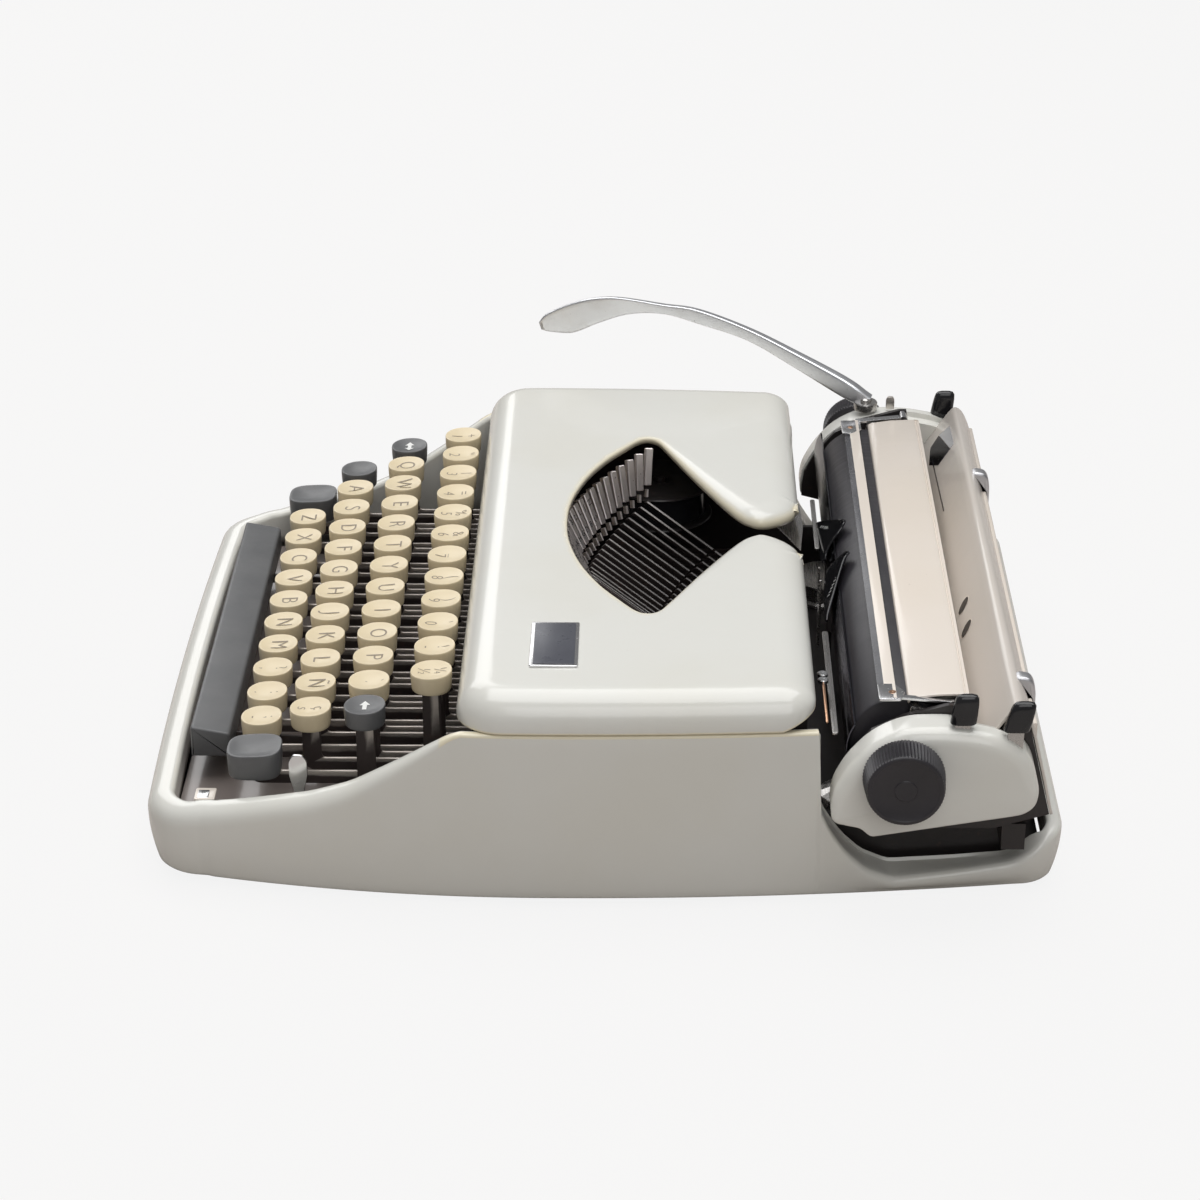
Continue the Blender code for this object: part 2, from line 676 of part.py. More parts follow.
def housing_column(x, y):
    """Height of the rim, its rounding, the width of its flat and the foot of its inner lip."""
    front_run = COVER_FRONT_Y - BODY_FRONT_Y
    rear_start = wall_end_y() + WALL_END_RUN
    if y < COVER_FRONT_Y:
        share = (y - BODY_FRONT_Y) / front_run
        rise = interpolate(RIM_RISE_SHARES, share)
        top = FRONT_RIM_Z + (SEAM_Z - FRONT_RIM_Z) * rise
        radius = FRONT_RIM_RADIUS + (SEAM_RADIUS - FRONT_RIM_RADIUS) * rise ** 2
        return top, radius, RIM_FLAT, APRON_Z + APRON_THICKNESS + GAP
    if y <= wall_end_y() + WELD:
        foot = SEAM_Z - (COVER_TOP_Z - SEAM_Z) / 2
        return SEAM_Z, SEAM_RADIUS, RIM_FLAT, foot
    share = (y - rear_start) / (BODY_REAR_Y - rear_start)
    top = LEDGE_Z + (LEDGE_STEP_Z - LEDGE_Z) * interpolate(LEDGE_SHARES, max(share, 0.0))
    inner = frame_plate_x() + FRAME_PLATE_THICKNESS / 2 + RUNNING_GAP
    flat = max(abs(x) - inner - LEDGE_RADIUS - LIP_RADIUS, RIM_FLAT)
    foot = max(top - LEDGE_RADIUS - LIP_RADIUS, BASE_PLATE_Z + BASE_PLATE_THICKNESS + 2 * GAP)
    return top, LEDGE_RADIUS, flat, foot


def build_housing(b):
    """The moulded lower body: a skin lofted round the plan, over the rim and down its inner lip."""
    front_run = COVER_FRONT_Y - BODY_FRONT_Y
    rear_start = wall_end_y() + WALL_END_RUN
    stations = [BODY_FRONT_Y + front_run * share for share, _ in RIM_RISE_SHARES[2:]]
    stations += [COVER_FRONT_Y / 3, (COVER_FRONT_Y + 2 * COVER_REAR_Y) / 3, wall_end_y()]
    stations += [rear_start + (BODY_REAR_Y - rear_start) * share for share, _ in LEDGE_SHARES[:-2]]
    outline = whole_outline(half_outline(BODY_FRONT_Y, BODY_REAR_Y, FRONT_CORNER_RADIUS,
                                         REAR_CORNER_RADIUS, stations, FRONT_BOW))
    normals = inward_normals(outline)
    columns = [housing_column(x, y) for x, y in outline]
    rings = []

    def ring(offset_of, height_of):
        offsets = [offset_of(*column) for column in columns]
        heights = [height_of(*column) for column in columns]
        rings.append(offset_ring(outline, normals, offsets, heights))

    ring(lambda t, r, f, l: SHELL_TUCK, lambda t, r, f, l: SHELL_BOTTOM_Z)
    ring(lambda t, r, f, l: SHELL_TUCK * MIDDLE_TUCK_SHARE,
         lambda t, r, f, l: SHELL_BOTTOM_Z + (t - r - SHELL_BOTTOM_Z) / 2)
    for angle in (0, 45, 90):
        a = math.radians(angle)
        ring(lambda t, r, f, l, a=a: r - r * math.cos(a), lambda t, r, f, l, a=a: t - r + r * math.sin(a))
    for angle in (90, 20):
        a = math.radians(angle)
        ring(lambda t, r, f, l, a=a: r + f + LIP_RADIUS * math.cos(a),
             lambda t, r, f, l, a=a: t - LIP_RADIUS + LIP_RADIUS * math.sin(a))
    ring(lambda t, r, f, l: r + f + LIP_RADIUS, lambda t, r, f, l: l)
    bm = loft("housing", rings)
    mesh = bpy.data.meshes.new("housing")
    bm.to_mesh(mesh)
    bm.free()
    obj = b.part("housing", mesh, "enamel")
    wall = obj.modifiers.new("wall", "SOLIDIFY")
    wall.thickness = SHELL_WALL
    wall.offset = -1.0
    return obj


def build_base(b):
    """Bottom plate and the four rubber feet under it."""
    outline = whole_outline(half_outline(BODY_FRONT_Y, BODY_REAR_Y, FRONT_CORNER_RADIUS, REAR_CORNER_RADIUS,
                                         [COVER_FRONT_Y, 0.0, COVER_REAR_Y], FRONT_BOW))
    normals = inward_normals(outline)
    inset = [(x + nx * BASE_PLATE_INSET, y + ny * BASE_PLATE_INSET)
             for (x, y), (nx, ny) in zip(outline, normals)]
    middle = BASE_PLATE_Z + BASE_PLATE_THICKNESS / 2
    mesh = plate("base_plate", [inset], BASE_PLATE_THICKNESS, centre=(0, 0, middle))
    b.part("base_plate", mesh, "dark_steel")
    top = BASE_PLATE_Z - GAP
    edge = (FOOT_RADIUS - FOOT_TOP_RADIUS) / 2
    profile = [(0, top), (FOOT_TOP_RADIUS, top), (FOOT_RADIUS, top / 2), (FOOT_RADIUS - edge, 0), (0, 0)]
    for side, x in (("left", -FOOT_X), ("right", FOOT_X)):
        for end, y in (("front", FOOT_FRONT_Y), ("rear", FOOT_REAR_Y)):
            mesh = turned("foot", profile, FOOT_SEGMENTS, centre=(x, y, 0))
            b.part("foot_%s_%s" % (end, side), mesh, "rubber", (x, y, 0))


def build_cover(b):
    """Ribbon cover: a rounded shell with the keyhole opening, ears for its hinge pins and a bare plate."""
    stations = [COVER_FRONT_Y + (COVER_REAR_Y - COVER_FRONT_Y) * share for share in COVER_SIDE_SHARES]

    def cover_outline(inset):
        growth = COVER_CORNER_GROWTH_SHARE * inset
        return whole_outline(half_outline(COVER_FRONT_Y + inset, COVER_REAR_Y - inset,
                                          COVER_FRONT_CORNER + growth, COVER_REAR_CORNER + growth,
                                          stations, inset=inset))

    outline = cover_outline(0.0)
    count = len(outline)
    feet = []
    for _, y in outline:
        share = max(y - COVER_LIFT_Y, 0.0) / (COVER_REAR_Y - COVER_LIFT_Y)
        feet.append(SEAM_Z + COVER_SEAM_GAP + COVER_LIFT * share)
    skirt = COVER_TOP_Z - COVER_EDGE_RADIUS - SEAM_Z - COVER_SEAM_GAP
    rings = [[(x, y, foot) for (x, y), foot in zip(outline, feet)]]
    for angle in (0, 30, 60, 90):
        a = math.radians(angle)
        inset = COVER_EDGE_RADIUS * (1 - math.cos(a))
        heights = [foot + skirt + (COVER_TOP_Z - foot - skirt) * math.sin(a) for foot in feet]
        rings.append([(x, y, z) for (x, y), z in zip(cover_outline(inset), heights)])
    bm = loft("top_cover", rings)
    bm.verts.ensure_lookup_table()
    bm.faces.new(bm.verts[-count:])
    mesh = bpy.data.meshes.new("top_cover")
    bm.to_mesh(mesh)
    bm.free()
    hinge = (0, COVER_HINGE_Y, COVER_HINGE_Z)
    obj = b.part("top_cover", mesh, "enamel", hinge)
    wall = obj.modifiers.new("wall", "SOLIDIFY")
    wall.thickness = COVER_WALL
    wall.offset = -1.0
    run = COVER_REAR_Y - OPENING_FRONT_Y
    half = [(OPENING_HALF_WIDTH * u, OPENING_FRONT_Y + run * v) for u, v in OPENING_SHARES]
    half.append((half[-1][0], COVER_REAR_Y + CUT_OVERRUN))
    opening = half + [(-x, y) for x, y in reversed(half) if x > 0]
    b.cut(obj, "opening", plate("opening", [opening], 2 * CUT_OVERRUN, centre=(0, 0, COVER_TOP_Z)))
    for side, x in (("left", -COVER_EAR_X), ("right", COVER_EAR_X)):
        top = COVER_TOP_Z - COVER_WALL - COVER_HINGE_Z
        ear = arc_points((0, 0), COVER_EAR_RADIUS, math.pi, math.tau, 6)
        ear += [(COVER_EAR_RADIUS, top - COVER_EAR_RADIUS), (-COVER_EAR_RADIUS, top)]
        hole = arc_points((0, 0), HINGE_PIN_RADIUS + GAP, 0, math.tau * 7 / 8, 7)
        b.add(obj, "ear_" + side, plate("ear", [ear, hole], COVER_EAR_WIDTH, ALONG_X,
                                        (x, COVER_HINGE_Y, COVER_HINGE_Z)))
    length, width, thickness = NAME_PLATE_SIZE
    low = (PLATE_X - length / 2, PLATE_Y - width / 2, COVER_TOP_Z + GAP / 3)
    high = (PLATE_X + length / 2, PLATE_Y + width / 2, COVER_TOP_Z + thickness)
    b.part("name_plate", rounded_box("name_plate", low, high, thickness / 4, 1), "chrome")


def lever_outline(y, stem_top, hook):
    """Outline of a key lever: a strip from its rear end over the ramp, with the stem at its front.

    With hook, its rear end is slotted from below and sits on the fulcrum rod."""
    half_stem = STEM_WIDTH / 2
    low = FULCRUM_Z - LEVER_HEIGHT / 2
    strip_top = FULCRUM_Z + LEVER_HEIGHT / 2
    rear = FULCRUM_Y + LEVER_HEIGHT
    slope_y = FULCRUM_Y - LEVER_END_HEIGHT
    outline = [(rear, low), (rear, strip_top)]
    if hook:
        end_top = FULCRUM_Z + LEVER_END_HEIGHT - LEVER_HEIGHT / 2
        outline = [(rear, low), (rear, end_top), (slope_y, end_top), (slope_y - LEVER_HEIGHT, strip_top)]
    outline += [(RAMP_REAR_Y, strip_top), (RAMP_FRONT_Y, LEVER_TOP_Z), (y + half_stem, LEVER_TOP_Z),
               (y + half_stem, stem_top), (y - half_stem, stem_top),
               (y - half_stem, LEVER_TOP_Z - LEVER_HEIGHT / 2), (y, LEVER_TOP_Z - LEVER_HEIGHT),
               (RAMP_FRONT_Y, LEVER_TOP_Z - LEVER_HEIGHT), (RAMP_REAR_Y, low)]
    if hook:
        radius = FULCRUM_ROD_RADIUS + GAP
        outline += [(FULCRUM_Y - radius, low), (FULCRUM_Y - radius, FULCRUM_Z)]
        outline += arc_points((FULCRUM_Y, FULCRUM_Z), radius, math.radians(150), math.radians(30), 4)
        outline += [(FULCRUM_Y + radius, FULCRUM_Z), (FULCRUM_Y + radius, low)]
    return outline


def cap_mesh(x, y, top):
    """A round key cap with a dished top and a slightly narrower foot."""
    profile = [(0, top - CAP_DISH), (CAP_RADIUS - CAP_EDGE, top), (CAP_RADIUS, top - CAP_EDGE),
               (CAP_FOOT_RADIUS, top - CAP_HEIGHT), (0, top - CAP_HEIGHT)]
    return turned("cap", profile, CAP_SEGMENTS, centre=(x, y, 0))


def key_place(row, index):
    """X, Y and cap top of a key in a row; index -1 is the place before the first light key."""
    i = ROW_NAMES.index(row)
    return KEYBOARD_X + KEY_PITCH * (ROW_SHIFT_SHARES[i] + index), ROW_DEPTHS[i], ROW_HEIGHTS[i]


def light_keys(row):
    """How many light keys a row has."""
    return ROW_KEY_COUNTS[ROW_NAMES.index(row)]


def strip(x, y, top, cap_height, hook):
    outline = lever_outline(y, top - cap_height + STEM_SINK, hook)
    return plate("lever", [outline], LEVER_THICKNESS, ALONG_X, (x, 0, 0))


def build_key(b, name, row, index, material):
    """One key that moves by itself: its cap fused with its lever, turning on the fulcrum rod."""
    x, y, top = key_place(row, index)
    obj = b.part(name, strip(x, y, top, CAP_HEIGHT, True), material, (x, FULCRUM_Y, FULCRUM_Z))
    b.add(obj, "cap", cap_mesh(x, y, top))


def build_shift_key(b, name, index, side):
    """A shift key: a large rounded cap on its lever, set outward from it."""
    x, y, top = key_place("lower", index)
    length, width, height = SHIFT_CAP_SIZE
    obj = b.part(name, strip(x, y, top, height, True), "black_plastic", (x, FULCRUM_Y, FULCRUM_Z))
    middle = x + side * SHIFT_CAP_OUTSET
    low = (middle - length / 2, y - width / 2, top - height)
    high = (middle + length / 2, y + width / 2, top)
    b.add(obj, "cap", rounded_box("cap", low, high, SHIFT_CAP_ROUNDING * 2 / 3, 2))


def frame_plate_x():
    """X of the middle of the right side plate, which stands just inside the cover's ear."""
    return COVER_EAR_X - COVER_EAR_WIDTH / 2 - GAP - FRAME_PLATE_THICKNESS / 2


def lever_positions():
    """X of every lever in the comb, from left to right."""
    places = []
    for row in ROW_NAMES:
        count = light_keys(row)
        first = 0 if row == "number" else -1
        last = count + 1 if row in ("upper", "lower") else count
        places += [key_place(row, i)[0] for i in range(first, last)]
    return sorted(places)


def build_keyboard(b):
    """The keys: black keys and the home row move by themselves, the others stand on the fulcrum rod."""
    for index, letter in enumerate(HOME_KEY_NAMES):
        build_key(b, "key_" + letter, "home", index, "cream")
    build_key(b, "shift_lock_key", "home", -1, "black_plastic")
    build_key(b, "margin_release_key", "upper", -1, "black_plastic")
    build_key(b, "backspace_key", "upper", light_keys("upper"), "black_plastic")
    build_shift_key(b, "shift_key_left", -1, -1)
    build_shift_key(b, "shift_key_right", light_keys("lower"), 1)
    levers = []
    caps = []
    for row in ("number", "upper", "lower"):
        for index in range(light_keys(row)):
            x, y, top = key_place(row, index)
            levers.append(strip(x, y, top, CAP_HEIGHT, False))
            caps.append(cap_mesh(x, y, top))
    half = frame_plate_x() - FRAME_PLATE_THICKNESS / 2 - GAP
    rod = cylinder("fulcrum_rod", FULCRUM_ROD_RADIUS, 2 * half, FULCRUM_SEGMENTS, ALONG_X,
                   (0, FULCRUM_Y, FULCRUM_Z))
    obj = b.part("key_bank", rod, "cream")
    b.add(obj, "levers", joined("levers", levers))
    b.add(obj, "caps", joined("caps", caps))


def build_comb(b):
    """The slotted guide that keeps the levers apart."""
    base = BASE_PLATE_Z + BASE_PLATE_THICKNESS + GAP
    places = lever_positions()
    end = max(-places[0], places[-1]) + COMB_END_MARGIN
    outline = [(-end, base), (end, base), (end, COMB_TOP_Z)]
    half = COMB_SLOT_WIDTH / 2
    for x in reversed(places):
        outline += [(x + half, COMB_TOP_Z), (x + half, COMB_SLOT_FLOOR_Z),
                    (x - half, COMB_SLOT_FLOOR_Z), (x - half, COMB_TOP_Z)]
    outline.append((-end, COMB_TOP_Z))
    mesh = plate("key_comb", [outline], COMB_THICKNESS, ALONG_Y, (0, COMB_Y, 0))
    b.part("key_comb", mesh, "dark_steel")


def bar_arm_places():
    """X of the space bar's two arms, each midway between two levers."""
    quarter = KEY_PITCH / 4
    middle = BAR_CENTRE_X
    first = round((middle - KEYBOARD_X) / quarter) * quarter + KEYBOARD_X + quarter / 2
    reach = BAR_ARM_SPREAD_KEYS * KEY_PITCH / 2
    return first - reach, first + reach


def build_space_bar(b):
    """The space bar with its two arms, turning on a rod behind the apron."""
    section = [(BAR_FRONT_Y, BAR_BOTTOM_Z), (BAR_REAR_Y, BAR_BOTTOM_Z),
               (BAR_REAR_Y, BAR_REAR_TOP_Z - BAR_BEVEL),
               (BAR_REAR_Y - BAR_BEVEL, BAR_REAR_TOP_Z), (BAR_FRONT_Y + BAR_BEVEL, BAR_FRONT_TOP_Z),
               (BAR_FRONT_Y, BAR_FRONT_TOP_Z - BAR_BEVEL)]
    bar = plate("space_bar", [section], BAR_LENGTH, ALONG_X, (BAR_CENTRE_X, 0, 0))
    obj = b.part("space_bar", bar, "black_plastic", (BAR_CENTRE_X, BAR_PIVOT_Y, BAR_PIVOT_Z))
    middle_y = (BAR_FRONT_Y + BAR_REAR_Y) / 2
    arm_low = BAR_BOTTOM_Z - BAR_ARM_HEIGHT / 2
    rear_low = APRON_Z + APRON_THICKNESS + BAR_ARM_HEIGHT / 2
    ring = BAR_PIVOT_RADIUS + GAP
    boss = ring + BAR_PIVOT_RADIUS
    outline = [(BAR_PIVOT_Y + boss, BAR_PIVOT_Z), (BAR_PIVOT_Y, BAR_PIVOT_Z + BAR_ARM_HEIGHT),
               (APRON_REAR_Y, rear_low + BAR_ARM_HEIGHT), (middle_y, BAR_BOTTOM_Z + BAR_BEVEL),
               (middle_y - BAR_ARM_HEIGHT, BAR_BOTTOM_Z + BAR_BEVEL), (middle_y - BAR_ARM_HEIGHT, arm_low),
               (APRON_REAR_Y, rear_low), (BAR_PIVOT_Y - boss, BAR_PIVOT_Z), (BAR_PIVOT_Y - ring, BAR_PIVOT_Z)]
    outline += arc_points((BAR_PIVOT_Y, BAR_PIVOT_Z), ring, math.radians(150), math.radians(30), 4)
    outline += [(BAR_PIVOT_Y + ring, BAR_PIVOT_Z)]
    arms = [plate("arm", [outline], LEVER_THICKNESS, ALONG_X, (x, 0, 0)) for x in bar_arm_places()]
    b.add(obj, "arms", joined("arms", arms))


def build_apron(b):
    """Floor of the keyboard well, on a folded foot, with the rod that the space bar turns on."""
    top = APRON_Z + APRON_THICKNESS
    base = BASE_PLATE_Z + BASE_PLATE_THICKNESS + GAP
    section = [(APRON_FRONT_Y, base), (APRON_FRONT_Y + APRON_THICKNESS, base),
               (APRON_FRONT_Y + APRON_THICKNESS, APRON_Z), (APRON_REAR_Y - APRON_THICKNESS, APRON_Z),
               (APRON_REAR_Y - APRON_THICKNESS, base), (BAR_PIVOT_Y + APRON_THICKNESS, base),
               (BAR_PIVOT_Y + APRON_THICKNESS, base + APRON_THICKNESS),
               (APRON_REAR_Y, base + APRON_THICKNESS),
               (APRON_REAR_Y, top), (APRON_FRONT_Y, top)]
    mesh = plate("front_apron", [section], 2 * APRON_HALF_WIDTH, ALONG_X, (BODY_OFFSET, 0, 0))
    obj = b.part("front_apron", mesh, "grey_floor")
    rod_x = bar_arm_places()
    span = rod_x[1] - rod_x[0] + 2 * KEY_PITCH
    centre = ((rod_x[0] + rod_x[1]) / 2, BAR_PIVOT_Y, BAR_PIVOT_Z)
    rod = cylinder("bar_rod", BAR_PIVOT_RADIUS, span, SHAFT_SEGMENTS, ALONG_X, centre)
    b.add(obj, "bar_rod", rod)
    for side, x in (("left", rod_x[0] - KEY_PITCH / 2), ("right", rod_x[1] + KEY_PITCH / 2)):
        low = (x - APRON_THICKNESS / 2, BAR_PIVOT_Y - BAR_PIVOT_RADIUS, base)
        high = (x + APRON_THICKNESS / 2, BAR_PIVOT_Y + APRON_THICKNESS, BAR_PIVOT_Z)
        b.add(obj, "post_" + side, box("post", low, high))


def build_well_fittings(b):
    """Ribbon colour selector beside the keys, and the carrying-case catch in the near front corner."""
    pivot = (SELECTOR_X, SELECTOR_Y, SELECTOR_PIVOT_Z)
    outline = arc_points((0, 0), SELECTOR_HALF_WIDTH, math.pi, math.tau, 4)
    outline.append((SELECTOR_TIP_HALF_WIDTH, SELECTOR_TOP_Z - SELECTOR_PIVOT_Z - SELECTOR_TIP_HALF_WIDTH))
    outline += arc_points((0, SELECTOR_TOP_Z - SELECTOR_PIVOT_Z - SELECTOR_TIP_HALF_WIDTH),
                          SELECTOR_TIP_HALF_WIDTH, math.radians(30), math.radians(150), 3)
    outline.append((-SELECTOR_TIP_HALF_WIDTH, SELECTOR_TOP_Z - SELECTOR_PIVOT_Z - SELECTOR_TIP_HALF_WIDTH))
    mesh = plate("ribbon_selector", [outline], SELECTOR_THICKNESS, ALONG_X, pivot)
    b.part("ribbon_selector", mesh, "chrome", pivot)
    length, width, height = CATCH_SIZE
    low_y = CATCH_Y
    base = APRON_Z + APRON_THICKNESS + GAP
    section = [(low_y, base), (low_y + width, base), (low_y + width, base + height / 3),
               (low_y + width / 2, base + height / 2), (low_y + width / 2, base + height),
               (low_y, base + height)]
    b.part("case_catch", plate("case_catch", [section], length, ALONG_X, (CATCH_X, 0, 0)), "ivory")


def slug_point(angle):
    """Where a typebar's slug rests, at an angle round the fan."""
    lift = 1 - math.cos(angle)
    return Vector((SLUG_ARC_HALF_WIDTH * math.sin(angle), SLUG_FRONT_Y + SLUG_ARC_DEPTH * lift,
                   SLUG_FRONT_Z + SLUG_ARC_RISE * lift))


def typebar_frame(angle):
    """Axes of a resting typebar: along it, across it and up from it, with its pivot."""
    along = Vector((0, math.cos(TYPEBAR_SLOPE), -math.sin(TYPEBAR_SLOPE)))
    tangent = Vector((SLUG_ARC_HALF_WIDTH * math.cos(angle), SLUG_ARC_DEPTH * math.sin(angle),
                      SLUG_ARC_RISE * math.sin(angle)))
    across = (tangent - along * tangent.dot(along)).normalized()
    up = across.cross(along)
    if up.z < 0:
        up = -up
    return along, across, up, slug_point(angle) + along * TYPEBAR_LENGTH


def oriented_box(name, centre, axes, size):
    """A box centred on a point along three given axes."""
    rotation = Matrix((axes[0], axes[1], axes[2])).transposed().to_4x4()
    bm = bmesh.new()
    matrix = Matrix.Translation(centre) @ rotation @ Matrix.Diagonal((*size, 1))
    bmesh.ops.create_cube(bm, size=1.0, matrix=matrix)
    return mesh_from_bmesh(name, bm)


def typebar_meshes(angle):
    """The bar and the slug of one typebar at rest."""
    along, across, up, pivot = typebar_frame(angle)
    axes = (along, across, up)
    length = TYPEBAR_LENGTH - SLUG_LENGTH / 4
    bar = oriented_box("bar", pivot - along * (length / 2), axes, (length, TYPEBAR_THICKNESS, TYPEBAR_DEPTH))
    slug_middle = slug_point(angle) + along * (SLUG_LENGTH / 2)
    slug = oriented_box("slug", slug_middle, axes, (SLUG_LENGTH, SLUG_WIDTH, SLUG_DEPTH))
    return bar, slug


def build_type_basket(b):
    """The segment with its resting typebars, and the middle typebar that swings with its key."""
    step = 2 * TYPEBAR_FAN / (TYPEBAR_COUNT - 1)
    angles = [-TYPEBAR_FAN + step * i for i in range(TYPEBAR_COUNT)]
    middle = TYPEBAR_COUNT // 2
    sections = []
    reach = TYPEBAR_FAN + step
    for i in range(SEGMENT_STEPS + 1):
        angle = -reach + 2 * reach * i / SEGMENT_STEPS
        along, across, up, pivot = typebar_frame(angle)
        corners = ((-SEGMENT_WIDTH, -SEGMENT_REACH), (GAP, -SEGMENT_REACH), (GAP, SEGMENT_REACH / 3),
                   (-SEGMENT_WIDTH, SEGMENT_REACH / 3))
        sections.append([pivot + along * (u + SEGMENT_WIDTH / 2) + up * v for u, v in corners])
    segment = mesh_from_bmesh("segment", loft("segment", sections, cap=True))
    obj = b.part("typebar_segment", segment, "steel")
    bars = []
    slugs = []
    for i, angle in enumerate(angles):
        if i == middle:
            continue
        bar, slug = typebar_meshes(angle)
        bars.append(bar)
        slugs.append(slug)
    along, across, up, pivot = typebar_frame(0.0)
    slot_size = (4 * SEGMENT_WIDTH, TYPEBAR_THICKNESS + 2 * GAP, 4 * SEGMENT_REACH)
    lift = pivot + up * (2 * SEGMENT_REACH - SEGMENT_REACH / 2)
    slot = oriented_box("slot", lift, (along, across, up), slot_size)
    b.cut(obj, "slot", slot)
    b.add(obj, "bars", joined("bars", bars))
    b.add(obj, "slugs", joined("slugs", slugs))
    base = BASE_PLATE_Z + BASE_PLATE_THICKNESS + GAP
    for side, x in (("left", -SEGMENT_FOOT_X), ("right", SEGMENT_FOOT_X)):
        angle = math.asin(x / SLUG_ARC_HALF_WIDTH)
        foot_pivot = typebar_frame(angle)[3]
        foot_y = FULCRUM_Y + LEVER_HEIGHT + LEVER_END_HEIGHT
        clear_z = FULCRUM_Z + LEVER_END_HEIGHT - LEVER_HEIGHT / 2 + 2 * RUNNING_GAP
        front_y = foot_pivot.y - SEGMENT_WIDTH / 4
        outline = [(front_y, foot_pivot.z - SEGMENT_REACH / 2), (foot_pivot.y, foot_pivot.z),
                   (foot_y + SEGMENT_WIDTH / 2, clear_z + SEGMENT_REACH), (foot_y + SEGMENT_WIDTH / 2, base),
                   (foot_y, base), (foot_y, clear_z), (front_y, clear_z + SEGMENT_REACH / 2)]
        b.add(obj, "foot_" + side, plate("foot", [outline], SEGMENT_REACH, ALONG_X, (x, 0, 0)))
    bar, slug = typebar_meshes(0.0)
    moving = b.part("typebar", bar, "chrome", tuple(pivot))
    b.add(moving, "slug", slug)


def build_ribbon_parts(b):
    """Two ribbon spools, the vibrator that lifts the ribbon, and the card holder before the platen."""
    bore = SPINDLE_RADIUS + GAP
    top = SPOOL_Z + SPOOL_HEIGHT
    profile = [(bore, top), (SPOOL_RADIUS, top), (SPOOL_RADIUS, top - SPOOL_FLANGE),
               (SPOOL_HUB_RADIUS, top - SPOOL_FLANGE), (SPOOL_HUB_RADIUS, SPOOL_Z + SPOOL_FLANGE),
               (SPOOL_RADIUS, SPOOL_Z + SPOOL_FLANGE), (SPOOL_RADIUS, SPOOL_Z), (bore, SPOOL_Z), (bore, top)]
    for side, x in (("left", -SPOOL_X), ("right", SPOOL_X)):
        spool = turned("spool", profile, SPOOL_SEGMENTS, centre=(x, SPOOL_Y, 0))
        b.part("ribbon_spool_" + side, spool, "dark_steel", (x, SPOOL_Y, SPOOL_Z))
    front = PLATEN_Y - PLATEN_RADIUS - PAN_THICKNESS - 2 * RUNNING_GAP
    holder_y = front - CARD_HOLDER_THICKNESS / 2 - RUNNING_GAP
    low, waist, high = CARD_HOLDER_Z
    tip = CARD_HOLDER_TIP_X
    inner = CARD_HOLDER_INNER_X
    tip_z = waist + (high - waist) * CARD_TIP_SHARE
    outline = [(-inner, low), (inner, low), (tip * CARD_WAIST_SHARE, waist), (tip, tip_z),
               (tip * CARD_TOP_SHARE, high), (inner, high), (inner, waist), (-inner, waist), (-inner, high),
               (-tip * CARD_TOP_SHARE, high), (-tip, tip_z), (-tip * CARD_WAIST_SHARE, waist)]
    mesh = plate("card_holder", [outline], CARD_HOLDER_THICKNESS, ALONG_Y, (0, holder_y, 0))
    obj = b.part("card_holder", mesh, "black_plastic")
    base = BASE_PLATE_Z + BASE_PLATE_THICKNESS + GAP
    front = holder_y - CARD_HOLDER_THICKNESS / 2
    stem = [(front, low + inner / 2), (holder_y, low + inner / 2), (holder_y + inner, base + inner),
            (holder_y + inner, base), (front, base)]
    b.add(obj, "stem", plate("stem", [stem], inner, ALONG_X))
    vibrator_y = holder_y - CARD_HOLDER_THICKNESS - VIBRATOR_THICKNESS / 2
    bottom, tip_z = VIBRATOR_Z
    half = VIBRATOR_HALF_WIDTH
    arm = half / 3
    floor = tip_z - VIBRATOR_SLOT
    fork = [(-arm, bottom), (arm, bottom), (arm, floor - half), (half, floor), (half, tip_z),
            (half - arm, tip_z),
            (half - arm, floor), (arm - half, floor), (arm - half, tip_z), (-half, tip_z), (-half, floor),
            (-arm, floor - half)]
    place = (0, vibrator_y, 0)
    mesh = plate("ribbon_vibrator", [fork], VIBRATOR_THICKNESS, ALONG_Y, place)
    b.part("ribbon_vibrator", mesh, "chrome", (0, vibrator_y, bottom))


